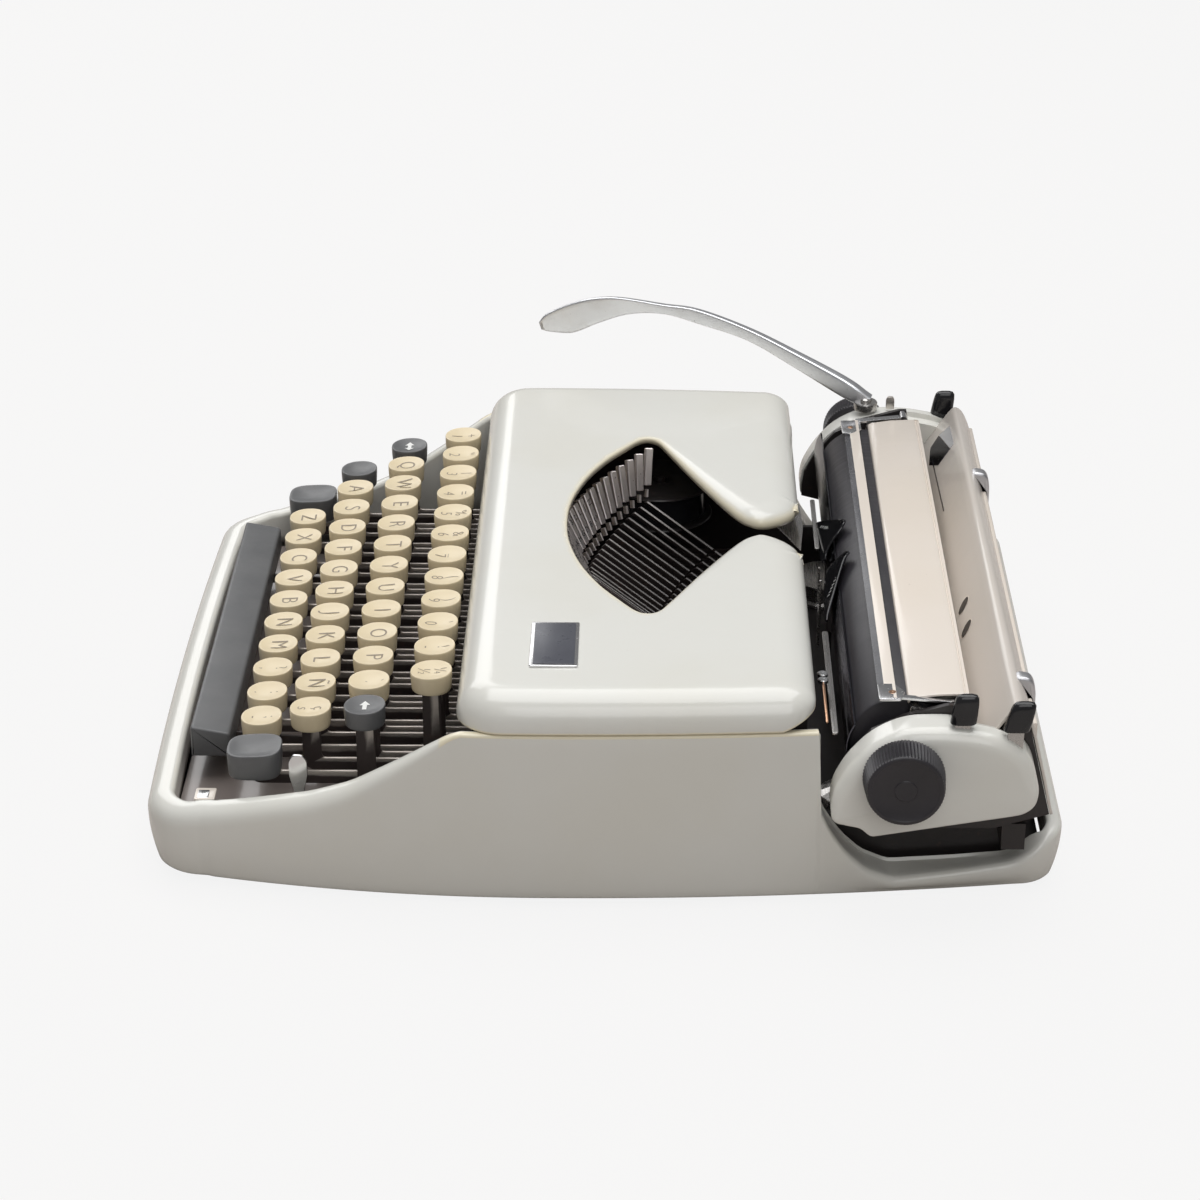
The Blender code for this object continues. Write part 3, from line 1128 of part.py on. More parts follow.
def build_inner_frame(b):
    """The frame: two side plates, the carriage bed with its rail, a top bar, spindles and hinge pins."""
    base = BASE_PLATE_Z + BASE_PLATE_THICKNESS + GAP
    lug_rear = COVER_HINGE_Y + 2 * HINGE_PIN_RADIUS
    lug_front = COVER_HINGE_Y - 2 * HINGE_PIN_RADIUS
    lug_top = COVER_HINGE_Z + HINGE_PIN_RADIUS / 2
    side = [(FRAME_FRONT_Y, base), (FRAME_REAR_Y, base), (FRAME_REAR_Y, FRAME_LOW_Z),
            (lug_rear, FRAME_LOW_Z), (lug_rear, lug_top), (lug_front, lug_top), (lug_front, FRAME_HIGH_Z),
            (FRAME_FRONT_Y + FRAME_BAR_DEPTH, FRAME_HIGH_Z), (FRAME_FRONT_Y, FRAME_HIGH_Z - FRAME_BAR_DEPTH)]
    plate_x = frame_plate_x()
    plates = [plate("side", [side], FRAME_PLATE_THICKNESS, ALONG_X, (x, 0, 0)) for x in (-plate_x, plate_x)]
    obj = b.part("inner_frame", plates[0], "dark_steel")
    inner_x = plate_x
    bed_low, bed_high = FRAME_BED_Z
    bed = box("bed", (-inner_x, FRAME_BED_FRONT_Y, bed_low), (inner_x, FRAME_REAR_Y - GAP, bed_high))
    b.add(obj, "bed", bed)
    b.add(obj, "right_side", plates[1])
    rail_y = sum(CARRIAGE_BEAM_Y) / 2
    b.add(obj, "rail", box("rail", (-inner_x, rail_y - RAIL_WIDTH / 2, bed_high - RAIL_HEIGHT),
                           (inner_x, rail_y + RAIL_WIDTH / 2, bed_high + RAIL_HEIGHT)))
    (rail_front, rail_rear), (rail_low, rail_high) = REAR_RAIL_Y, REAR_RAIL_Z
    b.add(obj, "rear_rail", box("rear_rail", (BODY_OFFSET - REAR_RAIL_HALF_LENGTH, rail_front, rail_low),
                                (BODY_OFFSET + REAR_RAIL_HALF_LENGTH, rail_rear, rail_high)))
    bar_low, bar_high = FRAME_BAR_Z
    b.add(obj, "bar", box("bar", (-inner_x, FRAME_FRONT_Y + GAP, bar_low),
                          (inner_x, FRAME_FRONT_Y + FRAME_BAR_DEPTH, bar_high)))
    shelf_z = SPOOL_Z - 2 * SPOOL_FLANGE
    for name, x in (("left", -1), ("right", 1)):
        shelf = box("shelf", (min(x * inner_x, x * (SPOOL_X - SPOOL_HUB_RADIUS)), SPOOL_Y - SPOOL_HUB_RADIUS,
                              shelf_z - FRAME_PLATE_THICKNESS),
                    (max(x * inner_x, x * (SPOOL_X - SPOOL_HUB_RADIUS)), SPOOL_Y + SPOOL_HUB_RADIUS,
                     SPOOL_Z - GAP))
        b.add(obj, "shelf_" + name, shelf)
        middle = (shelf_z + SPOOL_Z + SPOOL_HEIGHT + SPOOL_FLANGE) / 2
        length = SPOOL_HEIGHT + SPOOL_FLANGE + 2 * SPOOL_FLANGE
        b.add(obj, "spindle_" + name, cylinder("spindle", SPINDLE_RADIUS, length, SHAFT_SEGMENTS,
                                               centre=(x * SPOOL_X, SPOOL_Y, middle)))
        pin_length = COVER_EAR_WIDTH + FRAME_PLATE_THICKNESS
        pin_x = x * (inner_x + pin_length / 2)
        b.add(obj, "pin_" + name, cylinder("pin", HINGE_PIN_RADIUS, pin_length, SHAFT_SEGMENTS, ALONG_X,
                                           (pin_x, COVER_HINGE_Y, COVER_HINGE_Z)))


def end_cover_outline():
    """Outline of a carriage end cover in Y and Z."""
    (front, rear), (low, high) = END_COVER_Y, END_COVER_Z
    return [(front + (rear - front) * u, low + (high - low) * v) for u, v in END_COVER_SHARES]


def release_slot(side, y, top):
    """The slot in an end cover's top that a release lever's stem moves in."""
    x = CARRIAGE_OFFSET + side * (CARRIAGE_HALF_LENGTH - RELEASE_INSET)
    half_x = RELEASE_STEM_THICKNESS / 2 + RUNNING_GAP
    half_y = RELEASE_STEM_WIDTH / 2 + RUNNING_GAP
    low = (x - half_x, y - half_y, top - RELEASE_KNOB_SIZE[2])
    high = (x + half_x, y + half_y + RELEASE_SLOT_RUN, top + RELEASE_KNOB_SIZE[2])
    return box("slot", low, high)


def build_end_cover(b, name, side, slots):
    """A moulded end cover: its outline with a rounded outer edge, hollow from the inner side."""
    outline = end_cover_outline()
    centre_y = sum(END_COVER_Y) / 2
    centre_z = sum(END_COVER_Z) / 2
    outer_x = CARRIAGE_OFFSET + side * CARRIAGE_HALF_LENGTH
    if side > 0:
        outline = list(reversed(outline))
    normals = inward_normals([(y, z) for y, z in outline])
    sign = -1.0
    (y0, z0), (ny, nz) = outline[0], normals[0]
    if (centre_y - y0) * ny + (centre_z - z0) * nz > 0:
        sign = 1.0
    rings = []
    depths = [(END_COVER_DEPTH, 0.0)]
    for angle in (0, 45, 90):
        a = math.radians(angle)
        depths.append((END_COVER_ROUNDING * (1 - math.sin(a)), END_COVER_ROUNDING * (1 - math.cos(a))))
    for depth, inset in depths:
        rings.append([(outer_x - side * depth, y + sign * ny * inset, z + sign * nz * inset)
                      for (y, z), (ny, nz) in zip(outline, normals)])
    bm = loft(name, rings)
    bm.verts.ensure_lookup_table()
    bm.faces.new(bm.verts[-len(outline):])
    mesh = bpy.data.meshes.new(name)
    bm.to_mesh(mesh)
    bm.free()
    obj = b.part(name, mesh, "enamel")
    wall = obj.modifiers.new("wall", "SOLIDIFY")
    wall.thickness = END_COVER_WALL
    wall.offset = -1.0
    hole = cylinder("hole", SHAFT_RADIUS + RUNNING_GAP, 4 * END_COVER_WALL, PLATEN_SEGMENTS // 2, ALONG_X,
                    (outer_x, PLATEN_Y, PLATEN_Z))
    b.cut(obj, "shaft_hole", hole)
    for i, (y, top) in enumerate(slots):
        b.cut(obj, "slot_%d" % i, release_slot(side, y, top))


def build_carriage_frame(b):
    """Two end plates on a beam that runs on the rail of the bed."""
    beam_front, beam_rear = CARRIAGE_BEAM_Y
    beam_low, beam_high = CARRIAGE_BEAM_Z
    cover = end_cover_outline()
    normals = inward_normals(list(reversed(cover)))
    normals.reverse()
    front_part = []
    for (y, z), (ny, nz) in list(zip(cover, normals))[:END_COVER_TOP_POINTS - 1]:
        if y < BAIL_PIVOT_Y - BAIL_ARM_WIDTH:
            front_part.append((y + ny * END_PLATE_INSET, z + nz * END_PLATE_INSET))
    lug_top = BAIL_PIVOT_Z + BAIL_HUB_RADIUS
    trough = PANEL_FRONT_Y - END_PLATE_THICKNESS
    lug = [(BAIL_PIVOT_Y - BAIL_ARM_WIDTH / 2, lug_top), (BAIL_PIVOT_Y + BAIL_ARM_WIDTH / 2, lug_top),
           (trough, PANEL_FRONT_Z + END_PLATE_THICKNESS), (trough, PANEL_FRONT_Z - END_PLATE_THICKNESS)]
    hump = panel_sheet(-PANEL_THICKNESS - GAP)
    outline = [(beam_front, beam_low)] + front_part + lug + hump + [(beam_rear, beam_low)]
    hole = arc_points((PLATEN_Y, PLATEN_Z), SHAFT_RADIUS + GAP, 0, math.tau * 9 / 10, 9)
    plates = [plate("end", [outline, hole], END_PLATE_THICKNESS, ALONG_X,
                    (CARRIAGE_OFFSET + x, 0, 0)) for x in (-END_PLATE_X, END_PLATE_X)]
    obj = b.part("carriage_frame", plates[0], "dark_steel")
    left = CARRIAGE_OFFSET - END_PLATE_X
    right = CARRIAGE_OFFSET + END_PLATE_X
    beam = box("beam", (left, beam_front + GAP, beam_low + GAP), (right, beam_rear - GAP, beam_high))
    b.add(obj, "beam", beam)
    b.add(obj, "right_end", plates[1])
    middle = (beam_front + beam_rear) / 2
    groove_top = FRAME_BED_Z[1] + RAIL_HEIGHT + GAP
    if groove_top > beam_low:
        groove = box("groove", (left - CUT_OVERRUN, middle - RAIL_WIDTH / 2 - GAP, beam_low - CUT_OVERRUN),
                     (right + CUT_OVERRUN, middle + RAIL_WIDTH / 2 + GAP, groove_top))
        b.cut(obj, "groove", groove)


def knob_mesh(face_x, side):
    """A tapered knob with straight ridges, its outer face at face_x."""
    count = 2 * KNOB_RIDGES
    rings = []
    for share, radius in ((1.0, KNOB_RADIUS), (0.0, KNOB_FACE_RADIUS)):
        ring = []
        for i in range(count):
            angle = math.tau * i / count
            depth = KNOB_RIDGE_DEPTH if i % 2 else 0.0
            ring.append((face_x - side * KNOB_LENGTH * share, PLATEN_Y + (radius - depth) * math.cos(angle),
                         PLATEN_Z + (radius - depth) * math.sin(angle)))
        rings.append(ring)
    return mesh_from_bmesh("knob", loft("knob", rings, cap=True))


def build_platen(b):
    """Platen on its shaft, its two knobs, the ratchet wheel and the feed roller under it."""
    axis = (CARRIAGE_OFFSET, PLATEN_Y, PLATEN_Z)
    end = CARRIAGE_HALF_LENGTH + RUNNING_GAP + KNOB_LENGTH / 2
    shift = PAPER_OFFSET - CARRIAGE_OFFSET
    right = shift + PLATEN_HALF_LENGTH
    left = shift - PLATEN_HALF_LENGTH
    profile = [(0, end), (SHAFT_RADIUS, end), (SHAFT_RADIUS, right), (PLATEN_RADIUS, right),
               (PLATEN_RADIUS, left), (SHAFT_RADIUS, left), (SHAFT_RADIUS, -end), (0, -end)]
    b.part("platen", turned("platen", profile, PLATEN_SEGMENTS, ALONG_X, axis), "rubber", axis)
    for side, sign in (("left", -1), ("right", 1)):
        face_x = CARRIAGE_OFFSET + sign * (CARRIAGE_HALF_LENGTH + RUNNING_GAP + KNOB_LENGTH)
        obj = b.part("platen_knob_" + side, knob_mesh(face_x, sign), "black_plastic",
                     (face_x, PLATEN_Y, PLATEN_Z))
        bore = cylinder("bore", SHAFT_RADIUS + GAP, KNOB_LENGTH, SHAFT_SEGMENTS, ALONG_X,
                        (face_x - sign * (KNOB_LENGTH - GAP), PLATEN_Y, PLATEN_Z))
        b.cut(obj, "bore", bore)
    teeth = []
    for i in range(RATCHET_TEETH):
        root = (RATCHET_ROOT_SHARE, RATCHET_RADIUS - RATCHET_TOOTH)
        for part_angle, radius in ((0.0, RATCHET_RADIUS), root):
            angle = math.tau * (i + part_angle) / RATCHET_TEETH
            teeth.append((radius * math.cos(angle), radius * math.sin(angle)))
    hole = arc_points((0, 0), SHAFT_RADIUS + GAP, 0, math.tau * 9 / 10, 9)
    ratchet = plate("ratchet", [teeth, hole], RATCHET_THICKNESS, ALONG_X, (RATCHET_X, PLATEN_Y, PLATEN_Z))
    b.part("line_space_ratchet", ratchet, "steel", (RATCHET_X, PLATEN_Y, PLATEN_Z))
    reach = PLATEN_RADIUS + ROLLER_RADIUS + GAP
    roller_y = PLATEN_Y + reach * math.cos(ROLLER_ANGLE)
    roller_z = PLATEN_Z + reach * math.sin(ROLLER_ANGLE)
    stub = END_PLATE_X - END_PLATE_THICKNESS / 2 - GAP
    thin = ROLLER_RADIUS * ROLLER_STUB_SHARE
    profile = [(0, stub), (thin, stub), (thin, ROLLER_HALF_LENGTH), (ROLLER_RADIUS, ROLLER_HALF_LENGTH),
               (ROLLER_RADIUS, -ROLLER_HALF_LENGTH), (thin, -ROLLER_HALF_LENGTH), (thin, -stub), (0, -stub)]
    centre = (CARRIAGE_OFFSET, roller_y, roller_z)
    b.part("feed_roller", turned("feed_roller", profile, ROLLER_SEGMENTS, ALONG_X, centre), "rubber", centre)


def build_paper_path(b):
    """The pan before the platen, the paper table behind it and the bail across it."""
    inner = PLATEN_RADIUS + RUNNING_GAP
    outer = inner + PAN_THICKNESS
    section = arc_points((PLATEN_Y, PLATEN_Z), inner, PAN_START, PAN_END, PAN_STEPS)
    section += arc_points((PLATEN_Y, PLATEN_Z), outer, PAN_END, PAN_START, PAN_STEPS)
    length = 2 * (END_PLATE_X - END_PLATE_THICKNESS / 2 - GAP)
    mesh = plate("paper_pan", [section], length, ALONG_X, (CARRIAGE_OFFSET, 0, 0))
    b.part("paper_pan", mesh, "steel")
    (front, rear), (front_z, rear_z) = TABLE_Y, TABLE_Z
    t = TABLE_THICKNESS
    lip = PLATEN_Z + PLATEN_RADIUS + RUNNING_GAP
    section = [(front, lip - GAP), (front + t, lip - GAP), (front + 2 * t, front_z - t),
               (rear - t, rear_z - t), (rear - t, TABLE_DROP_Z), (rear, TABLE_DROP_Z), (rear, rear_z),
               (front + t, front_z)]
    mesh = plate("paper_table", [section], 2 * TABLE_HALF_LENGTH, ALONG_X, (PAPER_OFFSET, 0, 0))
    obj = b.part("paper_table", mesh, "ivory")
    drop_low = (CARRIAGE_OFFSET - length / 2, rear - t - GAP, TABLE_DROP_Z + t)
    drop_high = (CARRIAGE_OFFSET + length / 2, rear - GAP, (TABLE_DROP_Z + rear_z) / 2)
    b.add(obj, "flange", box("flange", drop_low, drop_high))
    bail_front, bail_rear = BAIL_Y
    gap = PLATEN_RADIUS + RUNNING_GAP
    angles = [math.acos(max(min((y - PLATEN_Y) / gap, 1.0), -1.0)) for y in (bail_rear, bail_front)]
    strip_low = arc_points((PLATEN_Y, PLATEN_Z), gap, angles[0], angles[1], 3)
    strip_high = arc_points((PLATEN_Y, PLATEN_Z), gap + BAIL_THICKNESS, angles[1], angles[0], 3)
    bail = plate("paper_bail", [strip_low + strip_high], 2 * BAIL_HALF_LENGTH, ALONG_X, (PAPER_OFFSET, 0, 0))
    pivot = (PAPER_OFFSET, BAIL_PIVOT_Y, BAIL_PIVOT_Z)
    obj = b.part("paper_bail", bail, "ivory", pivot)
    top = PLATEN_Z + gap
    w = BAIL_ARM_WIDTH
    r = BAIL_HUB_RADIUS
    arm = [(bail_front, top - w / 2), (bail_rear, top - w / 4), (BAIL_PIVOT_Y - w, BAIL_PIVOT_Z - r)]
    arm += arc_points((BAIL_PIVOT_Y, BAIL_PIVOT_Z), r, math.radians(-90), math.radians(90), 5)
    arm += [(bail_rear + w, top + w / 2), (bail_front, top + w / 3)]
    arms = [plate("arm", [arm], BAIL_ARM_THICKNESS, ALONG_X, (PAPER_OFFSET + x, 0, 0))
            for x in (-BAIL_HALF_LENGTH, BAIL_HALF_LENGTH)]
    b.add(obj, "arms", joined("arms", arms))
    face = END_PLATE_X - END_PLATE_THICKNESS / 2 - GAP
    hubs = []
    for inner_x, outer_x in ((PAPER_OFFSET - BAIL_HALF_LENGTH, CARRIAGE_OFFSET - face),
                             (PAPER_OFFSET + BAIL_HALF_LENGTH, CARRIAGE_OFFSET + face)):
        centre = ((inner_x + outer_x) / 2, BAIL_PIVOT_Y, BAIL_PIVOT_Z)
        hubs.append(cylinder("hub", r * BAIL_HUB_SHARE, abs(outer_x - inner_x), SHAFT_SEGMENTS, ALONG_X,
                             centre))
    b.add(obj, "hubs", joined("hubs", hubs))


def panel_sheet(offset):
    """The rear panel's outer line moved by an offset: up a slope, over a rounded crest, down the back."""
    r = PANEL_CREST_RADIUS + offset
    centre = (PANEL_CREST_Y, PANEL_CREST_Z - PANEL_CREST_RADIUS)
    rise = math.atan2(PANEL_CREST_Z - PANEL_FRONT_Z, PANEL_CREST_Y - PANEL_FRONT_Y)
    fall = math.atan2(PANEL_CREST_Z - PANEL_BACK_Z, PANEL_BACK_Y - PANEL_CREST_Y)
    first = (PANEL_FRONT_Y - offset * math.sin(rise), PANEL_FRONT_Z + offset * math.cos(rise))
    last = (PANEL_BACK_Y + offset * math.sin(fall), PANEL_BACK_Z + offset * math.cos(fall))
    return [first] + arc_points(centre, r, math.pi / 2 + rise, math.pi / 2 - fall, 4) + [last]


def build_rear(b):
    """Rear panel with its slit and two oval holes, the margin rail on its back and the two stops."""
    section = panel_sheet(0.0) + list(reversed(panel_sheet(-PANEL_THICKNESS)))
    mesh = plate("rear_panel", [section], 2 * PANEL_HALF_LENGTH, ALONG_X, (CARRIAGE_OFFSET, 0, 0))
    obj = b.part("rear_panel", mesh, "beige")
    for side, x in (("left", -1), ("right", 1)):
        inner = CARRIAGE_OFFSET + x * PANEL_BODY_HALF_LENGTH
        outer = CARRIAGE_OFFSET + x * (PANEL_HALF_LENGTH + CUT_OVERRUN)
        low = (min(inner, outer), PANEL_FRONT_Y - CUT_OVERRUN, PANEL_BACK_Z - CUT_OVERRUN)
        high = (max(inner, outer), END_COVER_Y[1] + GAP, PANEL_CREST_Z + CUT_OVERRUN)
        b.cut(obj, "notch_" + side, box("notch", low, high))
    first, second = panel_sheet(0.0)[:2]
    slope = math.atan2(second[1] - first[1], second[0] - first[0])
    middle_y = (first[0] + second[0]) / 2
    middle_z = (first[1] + second[1]) / 2
    normal = Vector((0, -math.sin(slope), math.cos(slope)))
    up = Vector((0, math.cos(slope), math.sin(slope)))
    side_axis = Vector((1, 0, 0))
    left, right = [CARRIAGE_OFFSET + PANEL_BODY_HALF_LENGTH * share for share in SLIT_SHARES]
    slit = oriented_box("slit", Vector(((left + right) / 2, middle_y, middle_z)), (side_axis, up, normal),
                        (right - left, PANEL_THICKNESS, CUT_OVERRUN))
    b.cut(obj, "slit", slit)
    ovals = []
    for share in OVAL_SHARES:
        x = CARRIAGE_OFFSET + PANEL_BODY_HALF_LENGTH * share
        turn = Matrix.Rotation(OVAL_TURN, 3, normal)
        axes = (turn @ side_axis, turn @ up, normal)
        oval = oriented_box("oval", Vector((x, middle_y, middle_z)), axes,
                            (OVAL_WIDTH, OVAL_LENGTH, CUT_OVERRUN))
        bm = bmesh.new()
        bm.from_mesh(oval)
        along_normal = [e for e in bm.edges
                        if abs((e.verts[1].co - e.verts[0].co).normalized().dot(normal)) > 0.9]
        bmesh.ops.bevel(bm, geom=along_normal, offset=OVAL_ROUNDING, segments=3, affect="EDGES", profile=0.5)
        ovals.append(mesh_from_bmesh("oval", bm))
    b.cut(obj, "ovals", joined("ovals", ovals))
    lift = GAP + SUPPORT_THICKNESS / 2
    outline = [(SUPPORT_SIZE * u, SUPPORT_SIZE * v) for u, v in SUPPORT_SHARES]
    mesh = plate("paper_support", [outline], SUPPORT_THICKNESS)
    tilt = Matrix((side_axis, up, normal)).transposed().to_4x4()
    support_x = CARRIAGE_OFFSET + PANEL_BODY_HALF_LENGTH * SUPPORT_PLACE_SHARE
    centre = Vector((support_x, middle_y, middle_z)) + normal * lift
    mesh.transform(Matrix.Translation(centre) @ tilt)
    b.part("paper_support", mesh, "chrome", tuple(centre + up * (SUPPORT_SIZE * SUPPORT_SHARES[2][1])))
    edge, foot = panel_sheet(0.0)[-2:]
    fall = math.atan2(edge[1] - foot[1], foot[0] - edge[0])
    down = Vector((0, math.cos(fall), -math.sin(fall)))
    out = Vector((0, math.sin(fall), math.cos(fall)))
    low, high = RAIL_STRIP_Z
    height = high - low
    centre_z = (low + high) / 2
    back_y = edge[0] + (edge[1] - centre_z) / math.tan(fall)
    seat = Vector((CARRIAGE_OFFSET, back_y, centre_z)) + out * (GAP + RAIL_STRIP_THICKNESS / 2)
    rail = oriented_box("margin_rail", seat, (side_axis, down, out),
                        (2 * RAIL_STRIP_HALF_LENGTH, height, RAIL_STRIP_THICKNESS))
    b.part("margin_rail", rail, "ivory")
    for name, share in (("left", STOP_SHARES[0]), ("right", STOP_SHARES[1])):
        x = CARRIAGE_OFFSET + RAIL_STRIP_HALF_LENGTH * share
        half = RAIL_STRIP_THICKNESS / 2
        reach = height / 2 + GAP
        hook = [(-reach - half, GAP / 2 - half), (-reach, GAP / 2 - half), (-reach, half + GAP),
                (reach, half + GAP), (reach, GAP / 2 - half), (reach + half, GAP / 2 - half),
                (reach + half, 2 * half + GAP), (-reach - half, 2 * half + GAP)]
        mesh = plate("stop", [hook], STOP_WIDTH, ALONG_X)
        frame = Matrix((side_axis, down, out)).transposed().to_4x4()
        place = Vector((x, seat.y, seat.z))
        mesh.transform(Matrix.Translation(place) @ frame)
        stop = b.part("margin_stop_" + name, mesh, "chrome", tuple(place))
        foot_point = place + out * (half + GAP) - down * (reach - half)
        tab = oriented_box("tab", foot_point + out * (STOP_HEIGHT / 4), (side_axis, down, out),
                           (STOP_WIDTH, RAIL_STRIP_THICKNESS * STOP_TAB_SHARE, STOP_HEIGHT / 2))
        b.add(stop, "tab", tab)


def build_return_lever(b):
    """The carriage return lever: a hub on the left end cover and a blade that rises, sweeps out and dips."""
    seat = END_COVER_Z[1] + GAP
    hub = Vector((RETURN_HUB_X, RETURN_HUB_Y, seat))
    path = [(hub.x - RETURN_SWEEP_X * u, hub.y - RETURN_SWEEP_Y * v, hub.z + RETURN_RISE * w,
             RETURN_DEPTH * d) for v, u, w, d in RETURN_BLADE_SHARES]
    rings = []
    for i, (x, y, z, depth) in enumerate(path):
        a = path[max(i - 1, 0)]
        c = path[min(i + 1, len(path) - 1)]
        heading = Vector((c[0] - a[0], c[1] - a[1], 0)).normalized()
        across = Vector((-heading.y, heading.x, 0)) * (RETURN_THICKNESS / 2)
        up = Vector((0, 0, depth))
        foot = Vector((x, y, z))
        rings.append([foot - across, foot + across, foot + across + up, foot - across + up])
    blade = mesh_from_bmesh("blade", loft("blade", rings, cap=True))
    obj = b.part("return_lever", blade, "chrome", tuple(hub))
    height = RETURN_DEPTH * RETURN_BLADE_SHARES[0][3] + RETURN_THICKNESS
    b.add(obj, "hub", cylinder("hub", RETURN_HUB_RADIUS, height, ROLLER_SEGMENTS,
                               centre=(hub.x, hub.y, hub.z + height / 2)))


def build_release_lever(b, name, side, y, knob_z):
    """A dark knob on a flat steel stem that goes down into an end cover, with a hub against the end plate."""
    length, width, height = RELEASE_KNOB_SIZE
    x = CARRIAGE_OFFSET + side * (CARRIAGE_HALF_LENGTH - RELEASE_INSET)
    low = (x - length / 2, y - width / 2, knob_z)
    high = (x + length / 2, y + width / 2, knob_z + height)
    knob = rounded_box(name, low, high, RELEASE_KNOB_BEVEL, 1)
    obj = b.part(name, knob, "black_plastic", (x, y, RELEASE_PIVOT_Z))
    stem_low = (x - RELEASE_STEM_THICKNESS / 2, y - RELEASE_STEM_WIDTH / 2, RELEASE_PIVOT_Z)
    stem_high = (x + RELEASE_STEM_THICKNESS / 2, y + RELEASE_STEM_WIDTH / 2, knob_z + height / 2)
    b.add(obj, "stem", box("stem", stem_low, stem_high))
    face = CARRIAGE_OFFSET + side * (END_PLATE_X + END_PLATE_THICKNESS / 2 + GAP)
    outer = x + side * RELEASE_STEM_THICKNESS / 3
    b.add(obj, "hub", cylinder("hub", RELEASE_HUB_RADIUS, abs(outer - face), SHAFT_SEGMENTS, ALONG_X,
                               ((outer + face) / 2, y, RELEASE_PIVOT_Z)))


def build_carriage_levers(b):
    """Return lever, line-space selector, paper release and the two carriage releases."""
    build_return_lever(b)
    tab_low = END_COVER_Z[1] + GAP
    width = RELEASE_STEM_WIDTH
    x = SELECTOR_TAB_X
    half = width / 2
    pivot = (x, SELECTOR_TAB_Y, tab_low + half)
    outline = arc_points((0, 0), half, math.pi, 2 * math.pi, CORNER_STEPS) + [(half, width), (-half, width)]
    tab = plate("tab", [outline], RELEASE_STEM_THICKNESS, ALONG_X, pivot)
    b.part("line_space_selector", tab, "chrome", pivot)
    build_release_lever(b, "paper_release_lever", 1, PAPER_RELEASE_Y, PAPER_RELEASE_KNOB_Z)
    build_release_lever(b, "carriage_release_right", 1, CARRIAGE_RELEASE_Y, CARRIAGE_RELEASE_KNOB_Z)
    build_release_lever(b, "carriage_release_left", -1, CARRIAGE_RELEASE_Y, CARRIAGE_RELEASE_KNOB_Z)


def build_hidden_works(b):
    """Main spring drum and bell on the base plate behind the fulcrum."""
    base = BASE_PLATE_Z + BASE_PLATE_THICKNESS + GAP
    top = base + DRUM_HEIGHT
    rim = DRUM_RADIUS - SPOOL_FLANGE
    profile = [(0, top), (DRUM_RADIUS, top), (DRUM_RADIUS, top - SPOOL_FLANGE), (rim, top - 2 * SPOOL_FLANGE),
               (rim, base + 2 * SPOOL_FLANGE), (DRUM_RADIUS, base + SPOOL_FLANGE), (DRUM_RADIUS, base),
               (0, base)]
    drum = turned("mainspring_drum", profile, SPOOL_SEGMENTS, centre=(DRUM_X, DRUM_Y, 0))
    b.part("mainspring_drum", drum, "steel", (DRUM_X, DRUM_Y, base))
    wall = BELL_WALL
    r = BELL_RADIUS
    top = base + BELL_HEIGHT
    hub = BELL_WALL * 2
    crown = r * BELL_CROWN_SHARE
    shoulder = r * BELL_SHOULDER_SHARE
    shoulder_z = top - BELL_HEIGHT * BELL_SHOULDER_DROP_SHARE
    lip_z = top - BELL_HEIGHT * BELL_LIP_DROP_SHARE
    profile = [(0, top), (crown, top), (shoulder, shoulder_z), (r, lip_z), (r - wall, lip_z),
               (shoulder - wall, shoulder_z - wall), (crown, top - wall), (hub, top - wall), (hub, base),
               (0, base)]
    b.part("margin_bell", turned("bell", profile, SPOOL_SEGMENTS, centre=(BELL_X, BELL_Y, 0)), "steel")


def main():
    clear_scene()
    b = Builder()
    build_housing(b)
    build_base(b)
    build_cover(b)
    build_keyboard(b)
    build_comb(b)
    build_space_bar(b)
    build_apron(b)
    build_well_fittings(b)
    build_type_basket(b)
    build_ribbon_parts(b)
    build_inner_frame(b)
    build_carriage_frame(b)
    release = (CARRIAGE_RELEASE_Y, CARRIAGE_RELEASE_KNOB_Z)
    build_end_cover(b, "end_cover_left", -1, [release])
    build_end_cover(b, "end_cover_right", 1, [release, (PAPER_RELEASE_Y, PAPER_RELEASE_KNOB_Z)])
    build_platen(b)
    build_paper_path(b)
    build_rear(b)
    build_carriage_levers(b)
    build_hidden_works(b)


main()
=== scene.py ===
"""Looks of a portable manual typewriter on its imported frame.

Lengths in the formulas are millimetres, and become metres where a mesh is made.
+X is the typist's right, +Y points away from the typist, +Z is up.
"""
import math

import bmesh
import bpy
import numpy as np
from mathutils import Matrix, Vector


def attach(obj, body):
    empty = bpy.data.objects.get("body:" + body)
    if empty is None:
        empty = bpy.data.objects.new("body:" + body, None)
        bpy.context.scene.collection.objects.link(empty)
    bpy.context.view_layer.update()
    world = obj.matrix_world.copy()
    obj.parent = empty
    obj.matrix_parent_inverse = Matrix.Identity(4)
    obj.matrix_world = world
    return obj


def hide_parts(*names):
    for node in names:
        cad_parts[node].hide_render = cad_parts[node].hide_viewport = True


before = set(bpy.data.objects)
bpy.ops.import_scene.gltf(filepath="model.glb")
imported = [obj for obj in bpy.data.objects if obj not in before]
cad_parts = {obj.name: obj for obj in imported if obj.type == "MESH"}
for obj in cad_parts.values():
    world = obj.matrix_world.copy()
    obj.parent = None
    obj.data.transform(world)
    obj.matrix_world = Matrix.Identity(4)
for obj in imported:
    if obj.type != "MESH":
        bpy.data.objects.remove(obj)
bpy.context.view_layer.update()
MM = 0.001
TURN = 2 * np.pi


